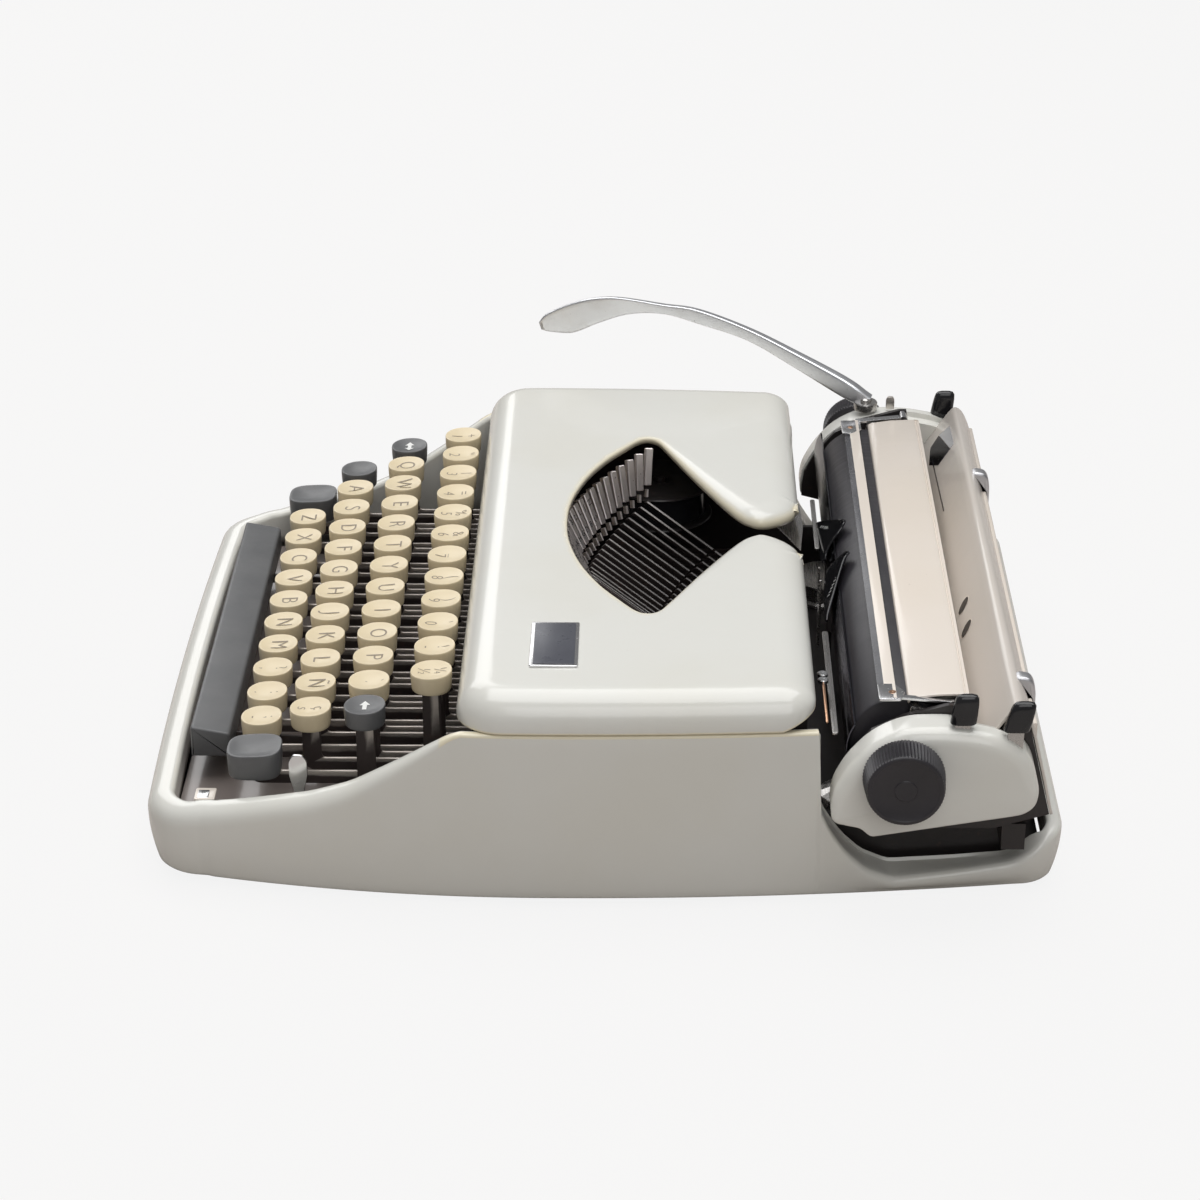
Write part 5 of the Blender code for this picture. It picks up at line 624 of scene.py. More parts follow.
def cover_shape():
    """Strip from the edge of the keyhole to the cover's outer edge. Its height falls by a quarter ellipse of
    the distance to the nearest edge: a crisp one round the keyhole, a roll that grows along the neck, a wide
    one outside. The keyhole stands about the keyboard's middle, the outer edge about the body's."""
    p = np.array(OPENING) * (OPENING_HALF, COVER_REAR - OPENING_FRONT) + (0, OPENING_FRONT)
    loop = smooth_loop(np.concatenate([p, [(60, 90), (-60, 90)], p[:0:-1] * (-1, 1)]), 4000)
    loop = np.roll(loop, -int(np.argmin(np.linalg.norm(loop - p[0], axis=1))), 0)
    inner = loop[:int(np.argmin(np.linalg.norm(loop[:2000] - p[-1], axis=1))) + 1]
    inner[0, 0] = 0.0
    inner[-1] = p[-1]
    outer = plan(COVER_FRONT, COVER_REAR, 16.0, 12.0, 0.0)
    outer = outer[(outer[:, 1] < COVER_REAR - 0.01) | (outer[:, 0] > p[-1, 0] + 0.1)]
    outer = resample(np.concatenate([outer, p[-1:]]), 1800, closed=False)
    ri, ro = run_along(inner), run_along(outer)
    wide = ri[np.argmax(inner[:, 0])]
    neck = ri[len(ri) // 2 + np.argmin(inner[len(ri) // 2:, 0])]
    side = ro[np.argmax((outer[:, 1] > 14) & (outer[:, 0] > 60))]
    back = ro[np.argmax((outer[:, 1] > 73.9) & (outer[:, 0] < 70))]
    t, stops = np.linspace(0, 1, 240), (0, 0.40, 0.78, 1)
    at_i = np.interp(t, stops, (0, wide, neck, ri[-1]))
    at_o = np.interp(t, stops, (0, side, back, ro[-1]))
    a = np.stack([np.interp(at_i, ri, inner[:, k]) for k in (0, 1)], 1)
    b = np.stack([np.interp(at_o, ro, outer[:, k]) for k in (0, 1)], 1)
    edge = np.concatenate([inner, outer[::-1]])
    grow = np.clip((ri - wide) / (ri[-1] - wide), 0, 1) ** 0.8
    base = 67.9 + 4.8 * np.clip((edge[:, 1] - 63) / 11, 0, 1)
    roll = np.concatenate([EDGE_ROLL + (COVER_ROLL - EDGE_ROLL) * grow, np.full(len(outer), COVER_ROLL)])
    depth = np.concatenate([EDGE_ROLL + 4.8 * grow, (COVER_TOP - base - COVER_EDGE)[len(inner):]])

    def top(q):
        crown = 0.5 * np.clip(1 - (q[:, 0] / 140) ** 2, 0, 1) * np.clip(1 - ((q[:, 1] - 12) / 62) ** 2, 0, 1)
        gap, at = nearest(q, edge)
        bell = np.exp(-gap / 2.2) * np.where(at < len(inner), 1.1, 0.0)
        share = 1 - np.minimum(gap / roll[at], 1)
        return COVER_TOP + crown - depth[at] * (1 - np.sqrt(np.maximum(1 - share ** 2, 0))), bell

    span = b - a
    length = np.linalg.norm(span, axis=1) + 1e-6
    along = span / length[:, None]
    reach_a = np.minimum(1.15 * roll[np.minimum(np.searchsorted(ri, at_i), len(ri) - 1)], 0.46 * length)
    reach_b = np.minimum(13.0, 0.46 * length)
    rows, wear, soil = [], [], []

    def ring(q, lower, worn=0.0, soiled=0.0):
        height, bell = top(q)
        rows.append(np.column_stack([q, height - lower]))
        wear.append(np.maximum(bell * 0.75, worn))
        soil.append(np.full(len(q), soiled))

    # the keyhole's lower edge and the rows under the outer edge take a painted shade, the last number of a ring
    ring(a, COVER_EDGE, 0.9, 0.6)
    for angle in np.radians(np.linspace(0, 90, 11)):
        ring(a + along * (reach_a * (1 - math.cos(angle)))[:, None], 0.0)
    for share in np.linspace(0, 1, 24)[1:-1]:
        ring(a + along * (reach_a + (length - reach_a - reach_b) * share)[:, None], 0.0)
    for angle in np.radians(np.linspace(90, 0, 17)):
        ring(b - along * (reach_b * (1 - math.cos(angle)))[:, None], 0.0)
    for drop, worn in ((0.7, 0.45), (1.1, 0.8), (COVER_EDGE, 1.0)):
        ring(b, drop, worn, 0.3 * worn)
    right = np.array(rows)
    whole = np.concatenate([(right * (-1, 1, 1))[:, :0:-1], right], 1)
    whole[:, :, 0] += MIDDLE * np.clip((np.abs(whole[:, :, 0]) - 84) / 30, 0, 1)

    def both(values):
        values = np.array(values)
        return np.concatenate([values[:, :0:-1], values], 1).reshape(-1)

    verts, faces = skin(whole, wrap=False)
    return (verts, [face[::-1] for face in faces]), both(wear), both(soil)


shape, wear, soil = cover_shape()
piece("ribbon_cover", shape, BODY, "cover", "top_cover", {"wear": wear, "soil": soil}, 1.3, 60, closed=False)


# keyboard

PITCH, FIRST_X = 19.0, -107.0
# offset along X, place along Y, height of the caps' tops and number of keys in each row
ROWS = {"number": (0.0, -57.2, 70.2, 12), "upper": (9.5, -79.7, 61.4, 11), "home": (14.25, -100.0, 53.1, 11),
        "lower": (23.75, -118.5, 44.5, 10)}
HOME = ("a", "s", "d", "f", "g", "h", "j", "k", "l", "n_tilde", "accent")
LEGENDS = {
    "number": (("1", "+"), ("2", '"'), ("3", "/"), ("4", "="), ("5", "%"), ("6", "&"), ("7", "_"), ("8", "("),
               ("9", ")"), ("0", "'"), ("-", "!"), ("½", "¼")),
    "upper": tuple("QWERTYUIOP") + (("´", "`"),),
    "home": tuple("ASDFGHJKL") + ("Ñ", ("s", "ç")),
    "lower": tuple("ZXCVBNM") + ((",", "?"), (".", ":"), ("-", ";")),
}
# a cap's section, as share of its reach and height over its top
CAP_SECTION = np.array([(0.02, -0.95), (0.25, -0.90), (0.45, -0.76), (0.62, -0.56), (0.76, -0.33),
                        (0.87, -0.12), (0.93, -0.02), (0.965, -0.02), (0.985, -0.12), (0.997, -0.34),
                        (1.0, -0.62), (0.998, -2.0), (0.985, -4.0), (0.966, -5.7), (0.958, -6.5),
                        (0.94, -6.75), (0.90, -6.8), (0.3, -6.8)])
HOLLOW = CAP_SECTION[:8]
CAP_X, CAP_Y, CAP_TIP = 7.5, 7.2, 0.045
STEM = 4.8  # from a cap's top down to the top of its lever's stem


def key_place(row, index):
    """The middle of a cap's top."""
    offset, y, top, _ = ROWS[row]
    return FIRST_X + offset + PITCH * index, y, top


def cap(x, y, top, rx=CAP_X, ry=CAP_Y, square=2.15, deep=1.0, tall=1.0, count=44):
    """A cap: its section's radius carried round |x/a|^n + |y/b|^n = 1, its top tipped to the typist."""
    u, v = square_turn(count, 2 / square)
    u, v, r = u * rx, v * ry, CAP_SECTION[:, :1]
    h = CAP_SECTION[:, 1:] * np.where(CAP_SECTION[:, 1:] > -1.0, deep, tall)
    tip = CAP_TIP * v[None] * np.clip(1 + h / 5.0, 0, 1) * r
    rings = np.stack([x + u * r, y + v * r, top + h + tip + 0 * u], -1)
    return skin(rings[::-1], caps=(True, True))


def lever(x, y, stem_top, hook=False):
    """A key's lever: low strip, ramp, high strip and stem, and its edge mark, 1 where it faces up, for a painted
    highlight.
    """
    low, strip, top, stem = 11.0, 16.0, 33.0, 3.3
    heel, foot, head = 67.0, -12.0, -38.0  # the lever's rear end and the ends of its ramp
    line = [(heel, low), (heel, 17.0), (56.0, 17.0), (51.0, strip)] if hook else [(heel, low), (heel, strip)]
    line += [(foot, strip), (head, top), (y + stem, top), (y + stem, stem_top), (y - stem, stem_top),
             (y - stem, top - 2.5), (y, top - 5.0), (head, top - 5.0), (foot, low)]
    line = anticlockwise(rounded(line, 1.6, 4))
    # faces that point up get the painted highlight
    up = (outward(line)[:, 1] > 0.75).astype(float) * (line[:, 1] > 20)
    return slab(line, 1.2, "X", (x, 0, 0), 0.25, 2), np.tile(up, 6)


def strokes(text, size, weight, fine=4):
    """A word's flat outline filled with faces, centred on the origin, thinned by a share of its size."""
    curve = bpy.data.curves.new("sign", "FONT")
    curve.body = text
    curve.align_x = curve.align_y = "CENTER"
    curve.size = size
    curve.offset = weight * size / 6
    curve.resolution_u = fine
    made = bpy.data.objects.new("sign", curve)
    bpy.context.scene.collection.objects.link(made)
    bpy.context.view_layer.update()
    mesh = bpy.data.meshes.new_from_object(made.evaluated_get(bpy.context.evaluated_depsgraph_get()))
    bpy.data.objects.remove(made)
    co = np.empty(len(mesh.vertices) * 3, np.float32)
    mesh.vertices.foreach_get("co", co)
    faces = [list(p.vertices) for p in mesh.polygons]
    bpy.data.meshes.remove(mesh)
    return co.reshape(-1, 3)[:, :2].astype(float), faces


def on_cap(x, y, top, u, v, lift):
    """Points laid on a cap's hollow, each at the hollow's depth, lifted off it by a hair."""
    dip = np.interp(np.hypot(u / CAP_X, v / CAP_Y), HOLLOW[:, 0], HOLLOW[:, 1])
    return np.stack([x + u, y + v, top + dip + CAP_TIP * v + lift], 1)


def legend(text, place, size, up):
    """A sign in thin strokes on a cap, moved up from its middle."""
    flat, faces = strokes(text, size, -0.05)
    return on_cap(*place, *(flat + (0, up)).T, 0.06), faces


def legends(row, index):
    """The one or two signs of a key: one in the middle, or the lower one below and the upper one above."""
    place, words = key_place(row, index), LEGENDS[row][index]
    if isinstance(words, str):
        return [legend(words, place, 9.0, 0.1)]
    return [legend(words[0], place, 6.2, -2.7), legend(words[1], place, 6.2, 2.9)]


bank_caps, bank_levers, bank_highlights, bank_signs = [], [], [], []
for row in ("number", "upper", "lower"):
    for index in range(ROWS[row][3]):
        x, y, top = key_place(row, index)
        bank_caps.append(cap(x, y, top))
        made, mark = lever(x, y, top - STEM)
        bank_levers.append(made)
        bank_highlights.append(mark)
        bank_signs += legends(row, index)
piece("bank_caps", bank_caps, CREAM, "housing", "key_bank")
piece("bank_levers", bank_levers, LEVER, "housing", marks={"edge": np.concatenate(bank_highlights)})
piece("bank_legends", bank_signs, INK, "housing", closed=False)
piece("fulcrum_rod", tube(np.linspace((-118.4, 62.0, 13.5), (118.4, 62.0, 13.5), 9), 1.5), NICKEL, "housing")


def moving_key(node, row, index, finish, aside=0.0, stem=STEM, **form):
    """A key that presses by itself: its cap, set aside along X, and its lever with a hook over the rod."""
    x, y, top = key_place(row, index)
    piece(node + "_cap", cap(x + aside, y, top, **form), finish, node, node)
    made, mark = lever(x, y, top - stem, True)
    piece(node + "_lever", made, LEVER, node, marks={"edge": mark})


for index, letter in enumerate(HOME):
    moving_key("key_" + letter, "home", index, CREAM)
    piece("key_" + letter + "_legend", legends("home", index), INK, "key_" + letter, closed=False)
moving_key("shift_lock_key", "home", -1, BLACK)
moving_key("margin_release_key", "upper", -1, BLACK)
moving_key("backspace_key", "upper", 11, BLACK)

ARROW = np.array([(-3.6, 0.0), (-0.9, 1.9), (-0.9, 0.75), (2.4, 0.75), (2.4, -0.75), (-0.9, -0.75),
                  (-0.9, -1.9)])


def arrow(index, points):
    """A flat arrow on the hollow of a cap in the upper row."""
    return on_cap(*key_place("upper", index), *points.T, 0.10), [list(range(len(points)))]


piece("backspace_arrow", arrow(11, ARROW), WHITE, "backspace_key", closed=False)
piece("margin_release_arrow", [arrow(-1, (0.4, 0) + ARROW * (-1, 1)), arrow(-1, ARROW - (0.4, 0))], WHITE,
      "margin_release_key", closed=False)

SHIFT_FORM = {"rx": 8.75, "ry": 9.5, "square": 3.1, "deep": 1.15, "tall": 1.4, "count": 64}
moving_key("shift_key_left", "lower", -1, BLACK, -3.5, 6.8, **SHIFT_FORM)
moving_key("shift_key_right", "lower", 10, BLACK, 3.5, 6.8, **SHIFT_FORM)

# the space bar's section in Y and Z, and its arm's outline
BAR_SECTION = rounded([(-144.5, 26.2), (-130.5, 26.2), (-130.5, 35.5), (-144.5, 38.0)],
                      (0.6, 0.6, 1.3, 1.3), 6)
ARM = [(-75.9, 12.8), (-79.0, 17.3), (-91.0, 23.8), (-137.5, 27.2), (-142.0, 27.2), (-142.0, 24.0),
       (-91.0, 19.3), (-82.1, 12.8), (-80.7, 12.8), (-80.2, 13.9), (-79.0, 14.5), (-77.8, 13.9), (-77.3, 12.8)]
piece("space_bar_cap", slab(BAR_SECTION, 177.0, "X", (-3.5, 0, 0), 0.9, 4), BLACK, "space_bar", "space_bar")
piece("space_bar_arms", [slab(ARM, 1.2, "X", (x, 0, 0), 0.2, 2) for x in (-66.6, 66.4)], LEVER, "space_bar")


# type basket

def beam(start, end, wide, deep, ease=0.12, across=(1, 0, 0)):
    """A straight bar of rectangular section with eased corners, between two points, one side across."""
    start, end = np.array(start, float), np.array(end, float)
    along = (end - start) / np.linalg.norm(end - start)
    side = np.array(across, float) - along * np.dot(across, along)
    side /= np.linalg.norm(side)
    w, d = wide / 2, deep / 2
    u = np.array([w, w - ease, ease - w, -w, -w, ease - w, w - ease, w])
    v = np.array([d - ease, d, d, d - ease, ease - d, -d, -d, ease - d])
    ring = side * u[:, None] + np.cross(along, side) * v[:, None]
    rings = [start + ring * 0.8, start + along * ease + ring, end - along * ease + ring, end + ring * 0.8]
    return skin(rings, caps=(True, True))


BASKET_HALF, BASKET_REACH = 26, math.radians(68.0)  # bars to each side, and the angle of the last one
BASKET_ARC = np.array((68.4, 41.4, 24.4))  # how far the basket's ends lie out, back and up
MIDDLE_BACK, MIDDLE_REACH = 11.0, 0.47
CHARACTERS = "ASERONCMUBDGHKPTVZJL235689"
REST = np.array((0, 0.788, -0.616))  # the way a resting bar falls from its slug


def basket_place(angle):
    """Front end of a resting bar, the way its slug leans and the way across it. The fronts lie on an arc that
    rises to both sides with 1 - cos; the middle ones stand further back, over the bar that swings."""
    s, c = math.sin(angle), math.cos(angle)
    back = MIDDLE_BACK * max(1 - (angle / MIDDLE_REACH) ** 2, 0) ** 2
    front = np.array((0, -9.5 + back, 45.1)) + BASKET_ARC * (s, 1 - c, 1 - c)
    lean = (np.array((8.5 * s, 9 - 21.5 * c, 19.5)) - (0, 0, 0.28 * back)) * (1 - 0.25 * max(s, 0))
    return front, lean, BASKET_ARC * (c, s, s)


bars, slugs, links, signs = [], [], [], []
for number in range(-BASKET_HALF, BASKET_HALF + 1):
    if number == 0:
        continue
    share = abs(number) / BASKET_HALF
    angle = BASKET_REACH * (0.47 * share + 0.53 * share ** 2) * np.sign(number)
    front, lean, across = basket_place(angle)
    gap = BASKET_REACH / BASKET_HALF * (0.47 + 1.06 * share) * np.linalg.norm(across)
    bars += [beam(front, front + 33.0 * REST, 0.8, 3.2, across=across),
             beam(front + 34.0 * REST, front + 45.0 * REST, 0.8, 2.6, across=across)]
    links.append(beam(front + 0.09 * lean, front + 0.24 * lean, 0.8, 2.4, across=across))
    slugs.append(beam(front + 0.31 * lean, front + lean, min(0.9 * gap, 2.9), 2.6, 0.3, across))
    side = across / np.linalg.norm(across)
    up = lean / np.linalg.norm(lean)
    face = np.cross(up, side)
    for place, word in ((0.50, CHARACTERS[number % 26]), (0.82, CHARACTERS[(number + 9) % 26])):
        flat, faces = strokes(word, 3.2, 0.03, 1)
        signs.append((lay(np.column_stack([flat, np.full(len(flat), 1.36)]), (-side, up, face),
                          front + place * lean), faces))
# the points marked 1 take the typebars' painted highlight
HIGHLIGHT_EDGE = (0, 0, 0, 0, 0, 1, 1, 0) * 4  # 1 on the points of a bar's upper edge
piece("resting_typebars", bars, BAR, "housing", "typebar_segment", {"edge": np.tile(HIGHLIGHT_EDGE, len(bars))})
piece("typebar_links", links, TYPE, "housing")
piece("type_slugs", slugs, TYPE, "housing")
piece("type_faces", signs, INKED, "housing", closed=False)


def segment_band(radius, low, high, depth):
    """The half ring that holds the bars' heels: a block along an arc that rises to both sides, cut square."""
    a = np.radians(np.linspace(-62, 62, 73))
    x, y, z = radius * np.sin(a), 58.0 - 16.0 * np.cos(a), low + 20.0 * (1 - np.cos(a))
    rings = [np.column_stack([x, y + dy, z + dz]) for dy, dz in oblong(0, 0, depth, high - low)]
    return skin(np.stack(rings, 1), caps=(True, True))


piece("segment", segment_band(54.0, 8.0, 21.0, 9.0), DARK, "housing")
piece("typebar_bar", beam((0, 38.0, 23.2), (0, -2.5, 54.8), 0.9, 3.2), BAR, "typebar", "typebar",
      {"edge": HIGHLIGHT_EDGE})
piece("typebar_slug", beam((0, -3.2, 52.6), (0, -7.6, 59.4), 2.2, 2.8, 0.3), TYPE, "typebar")


# space between cover and platen

def plate(corners, z, thick):
    """A flat sheet plate with the given corners at a height, its corners eased."""
    return slab(rounded(corners, 0.8, 3), thick, "Z", (0, 0, z), 0.15, 2)


def bolt(x, y, z, radius, tall):
    """A cheese-head screw: a low round head with a bevelled rim and a dimple in its middle."""
    bevel = 0.35
    section = [(0, 0), (radius, 0), (radius, tall - bevel), (radius - bevel, tall), (0.3, tall), (0, tall - 0.1)]
    return lathe(section, 20, "Z", (x, y, z))


piece("bed_plate", [plate([(-47.3, 75.4), (-47.3, 69.1), (-34.9, 63), (-4.9, 74.4), (-25.8, 76)], 66.9, 0.9),
                    plate(oblong(-64.6, 80.4, -18.8, 82.2), 61, 0.8),
                    plate(oblong(52, 79.8, 130, 82.0), 61, 0.8)], STEEL, "housing")
piece("bed_spring", plate(oblong(93.8, 77.5, 131.2, 78.5), 66.0, 0.6), COPPER, "housing")
piece("bed_screws", [bolt(x, 77.9, 66.2, 1.9, 1.3) for x in (96.9, 101.5)], CHROME, "housing")

WING = [(8.2, 83.2, 60.5), (8.6, 84.8, 66.5), (11.5, 89.8, 73.6), (14.8, 90.9, 74.9), (19, 88.6, 73.0),
        (38.5, 82.9, 63.2), (41.5, 82.0, 60.2), (30, 82.2, 58.2)]


def facet(points, thick=0.7):
    """A sheet through a ring of points, thick along the normal of the plane that its corners stand about."""
    p = np.array(points, float)
    n = np.cross(p - p.mean(0), np.roll(p, -1, 0) - p.mean(0)).sum(0)
    n /= np.linalg.norm(n)
    return skin([p - n * thick / 2, p + n * thick / 2], caps=(True, True))


wings, ticks = [], []
for side in (-1, 1):
    curve = smooth_loop(np.array(WING) * (side, 1, 1), 60)
    wings += [facet(curve, 0.8), tube(np.concatenate([curve, curve[:2]]), 0.45, 8)]
    for share in 0.15 + 0.08 * np.arange(9):
        foot = np.array((side * (13 + 22 * share), 89.0 - 8.0 * share, 71.5 - 8.6 * share))
        ticks.append(beam(foot, foot + (0, 0.8, 0.95), 0.25, 0.16, 0.03))
piece("card_holder_wings", wings, GLOSS, "housing", "card_holder")
HOLDER = [(8, 6), (8, 40), (26, 48), (26, 60), (20, 60), (8, 51)]
HOLDER = [(-8, 6)] + HOLDER + [(-x, z) for x, z in HOLDER[:0:-1]]
piece("card_holder_bracket", slab(rounded(HOLDER, 1.5, 4), 1.2, "Y", (0, 85.4, 0), 0.2, 2), DARK, "housing")
piece("card_holder_ticks", ticks, WHITE, "housing")
FORK = [(1.6, 30), (1.6, 40), (6.3, 43), (6.3, 59.8), (4.9, 59.8), (4.9, 44.4)]
FORK = [(-1.6, 30)] + FORK + [(-x, z) for x, z in FORK[:0:-1]]
piece("vibrator_fork", slab(rounded(FORK, 0.5, 3), 0.8, "Y", (0, 81.5, 0), 0.15, 2), STEEL, "ribbon_vibrator",
      "ribbon_vibrator")


# a spool, as radius and height: flanges with rolled rims on a hub, the upper one dished to its centre post
REEL = [(0, 44.3), (20.4, 44.3), (20.8, 44.7), (20.4, 45.1), (18, 45.1), (17.6, 45.3), (17.6, 57.3),
        (18, 57.5), (20.4, 57.5), (20.8, 57.9), (20.4, 58.3), (19.2, 58.4), (17.5, 57.9), (8, 57.7),
        (6.5, 58.2), (5, 58.4), (3.2, 58.4), (3.0, 57.2), (0, 57.2)]
WOUND = [(17.9, 45.8), (18.4, 46.2), (18.4, 56.6), (17.9, 57.0)]
for node, x in (("ribbon_spool_left", -90), ("ribbon_spool_right", 90)):
    piece(node + "_reel", lathe(REEL, 64, "Z", (x, 22, 0)), DARK, node, node)
    ribbon = lathe(WOUND, 64, "Z", (x, 22, 0))
    piece(node + "_ribbon", (ribbon[0], ribbon[1][:-2]), GLOSS, node, closed=False, wall=0.2)


# carriage

def band(line, thick):
    """Closed outline of an open line with a thickness: the line, and the line moved along its normals."""
    p = np.array(line, float)
    t = np.gradient(p, axis=0)
    t /= np.linalg.norm(t, axis=1, keepdims=True)
    return np.concatenate([p, (p + np.column_stack([-t[:, 1], t[:, 0]]) * thick)[::-1]])


def strip(line, low, high, thick, edge=0.2):
    """A bent sheet: a line in Y and Z with a thickness, carried along X from one place to another."""
    return slab(band(line[::-1], thick), high - low, "X", ((low + high) / 2, 0, 0), edge, 2)


def turned(cy, cz, profile, count=96):
    """A round piece about an axis along X, given as pairs of place and radius."""
    return lathe([(r, x) for x, r in profile], count, "X", (0, cy, cz))


AXLE = (102.5, 58.5)
ROLLER = [(-103, 0), (-103, 15.9), (-102.7, 16.6), (-102, 17), (130, 17), (130.7, 16.6), (131, 15.9), (131, 0)]
SHAFT = [(-141.5, 0), (-141.5, 2.7), (-141.2, 3), (-104.5, 3), (-104.5, 8), (-103.2, 8), (-103.2, 3),
         (131.2, 3), (131.2, 8), (132.5, 8), (132.5, 3), (159.2, 3), (159.5, 2.7), (159.5, 0)]
piece("platen_roller", turned(*AXLE, ROLLER), RUBBER, "platen", "platen")
piece("platen_shaft", turned(*AXLE, SHAFT, 32), STEEL, "platen")


def round_axle(rows):
    """A round piece about the axle: each row is a place along X and the radius at equal angles round it."""
    rings = []
    for x, r in rows:
        a = round_turn(len(r))
        rings.append(np.column_stack([np.full(len(r), x), AXLE[0] + r * np.cos(a), AXLE[1] + r * np.sin(a)]))
    return skin(rings, caps=(True, True))


# the line-space wheel: its radius falls from each tooth's tip and jumps back, (angle * teeth / turn) mod 1
TEETH = 1.6 * np.mod(round_turn(120) * 30 / TURN, 1.0)
piece("ratchet_wheel", round_axle([(x, 12.0 - TEETH - shrink) for x, shrink in
                                   ((-112, 0.3), (-111.8, 0), (-110.2, 0), (-110, 0.3))]),
      STEEL, "platen", "line_space_ratchet", sharp=20)

# a knob, as place, radius and share of its 72 fine ridges, then a plain bevelled face
RIDGES = 0.55 * (0.5 - 0.5 * np.cos(72 * round_turn(288))) ** 0.7
KNOB_ROWS = [(0.0, 12.4, 0), (0.3, 13.0, 0), (0.7, 13.5, 0.6), (1.4, 13.8, 1), (6.0, 13.5, 1),
             (10.4, 13.15, 1), (11.0, 13.0, 0.8), (11.5, 12.8, 0.2), (11.8, 12.55, 0), (12.0, 12.2, 0),
             (12.0, 11.4, 0), (11.7, 11.1, 0), (11.6, 3.9, 0), (11.9, 3.6, 0)]
for side, start, way in (("right", 153.5, 1), ("left", -135.5, -1)):
    knob = round_axle([(start + way * x, radius - share * RIDGES) for x, radius, share in KNOB_ROWS])
    piece("knob_" + side, knob, KNOB, "platen", "platen_knob_" + side, sharp=45)

piece("pan_sheet", strip(arc(*AXLE, 17.5, 150, 222, 40), -117.5, 135.5, 0.7), SMOKED, "carriage", "paper_pan")

# the end cover's outline, as shares of its box in Y and Z, and the radius of each corner
END = ((0.004, 0.121), (0, 0.254), (0.012, 0.402), (0.072, 0.607), (0.186, 0.837), (0.346, 0.980),
       (0.591, 0.993), (0.823, 0.916), (0.958, 0.723), (1, 0.415), (0.984, 0.289), (0.929, 0.220), (0.195, 0),
       (0.143, 0.081))
END_CORNERS = (3, 6, 14, 16, 22, 16, 18, 14, 12, 6, 3, 3, 1.5, 1.5)


def end_cover(outer, inner, face):
    """An end cover: its outline drawn in by a quarter round at the outer face, wide over the top and tight
    below, with a low step along the rear of its top where the panel lies."""
    line = np.array(END) * (69.4, 40.5) + (79, 33.7)
    line = anticlockwise(resample(rounded(line, END_CORNERS, 12), 360))
    n = outward(line)
    radius = 1.3 + 4.6 * eased((n[:, 1] + 0.55) / 0.9)
    for _ in range(6):
        radius = (np.roll(radius, 6) + radius + np.roll(radius, -6)) / 3
    step = 2.0 * np.clip((line[:, 0] - 118) / 2, 0, 1) * np.clip((n[:, 1] - 0.55) / 0.25, 0, 1)
    lowered = line - (0, 1) * step[:, None]
    rings = []

    def ring(x, points):
        rings.append(np.column_stack([x + np.zeros(len(points)), points]))

    ring(inner, lowered - n * 0.2)
    ring(inner + face * (0.1 + 5.0 * (step > 1)), lowered)
    ring(inner + face * (0.3 + 5.1 * (step > 1)), line)
    ring(outer - face * (radius + 0.2), line)
    for angle in np.radians(np.linspace(8, 90, 11)):
        ring(outer - face * (0.5 + (radius - 0.5) * (1 - math.sin(angle))),
             line - n * (radius * (1 - math.cos(angle)))[:, None])
    rim, centre = rings[-1][:, 1:], np.array((114.0, 52.0))
    for share in (0.9, 0.75, 0.55, 0.3, 0.02):
        ring(outer - face * 0.5 * share ** 3, centre + (rim - centre) * share)
    return skin(rings[::-1] if face < 0 else rings, caps=(False, True))


for side, outer, inner, face in (("right", 153.0, 139.0, 1), ("left", -135.0, -121.0, -1)):
    node = "end_cover_" + side
    piece(node + "_shell", end_cover(outer, inner, face), BODY, "carriage", node, wall=1.2, sharp=50)

# outlines in Y and Z of the paper table and of the rear panel, whose first points are its front slope
TABLE = [(104.6, 74.6), (104.7, 75.9), (105.5, 76.7), (108, 77.3), (113, 78.05), (118, 78.4), (122.6, 78.5),
         (123.7, 78.0), (124, 77.0), (124, 61)]
piece("table_sheet", strip(smooth_line(TABLE, 80), -105.5, 133.5, 1.2, 0.5), IVORY, "carriage", "paper_table")
piece("table_hinge", [tube([(-118.2, 107.5, 73.2), (136.2, 107.5, 73.2)], 1.2, 16)] + [
    beam((x, 106, 62), (x, 108, 74.2), 1.4, 5) for x in (-117, 135)], STEEL, "carriage")

PANEL = [(126.3, 56.5), (127.6, 59.2), (130.4, 63.6), (133.6, 68.2), (136.6, 72.6), (138.4, 75.2),
         (139.9, 76.9), (141.3, 77.2), (143.0, 76.2), (144.8, 73.6), (146.9, 68.4), (149.0, 60), (151.6, 49.5),
         (154.2, 38), (154.7, 36)]
piece("rear_panel_sheet", strip(smooth_line(PANEL, 140), -122.0, 139.5, 1.0, 0.3), PANEL_ENAMEL_SHADED, "carriage",
      "rear_panel")


def on_slope(x, y, lift=0.12):
    """A point on the rear panel's front slope."""
    return x, y - 0.8 * lift, float(np.interp(y, *np.array(PANEL[:6]).T)) + 0.6 * lift


SLOPE = np.array(((-7.2, 3.2, 4.6), (0, -0.815, 0.58)))  # the ovals' long way, and the way out of the slope
SLOPE[0] /= np.linalg.norm(SLOPE[0])
SLOPE_FRAME = (SLOPE[0], np.cross(SLOPE[1], SLOPE[0]), SLOPE[1])
slit = beam(on_slope(-98.6, 130.6), on_slope(-46.8, 131.2), 0.5, 0.2, 0.03, (0, 0.58, 0.81))
piece("panel_slit", slit, GLOSS, "carriage")
for name, grow, lift, finish in (("panel_ovals", 0.0, 0.18, GLOSS), ("panel_oval_rims", 0.45, 0.10, IVORY)):
    a = round_turn(40)
    oval = np.column_stack([(4.0 + grow) * np.cos(a), (2.2 + grow) * np.sin(a), 0 * a])
    piece(name, [(lay(oval, SLOPE_FRAME, on_slope(x, y, lift)), [list(range(40))]) for x, y in
                 ((38.6, 131.6), (56.2, 131.2))], finish, "carriage", closed=False)

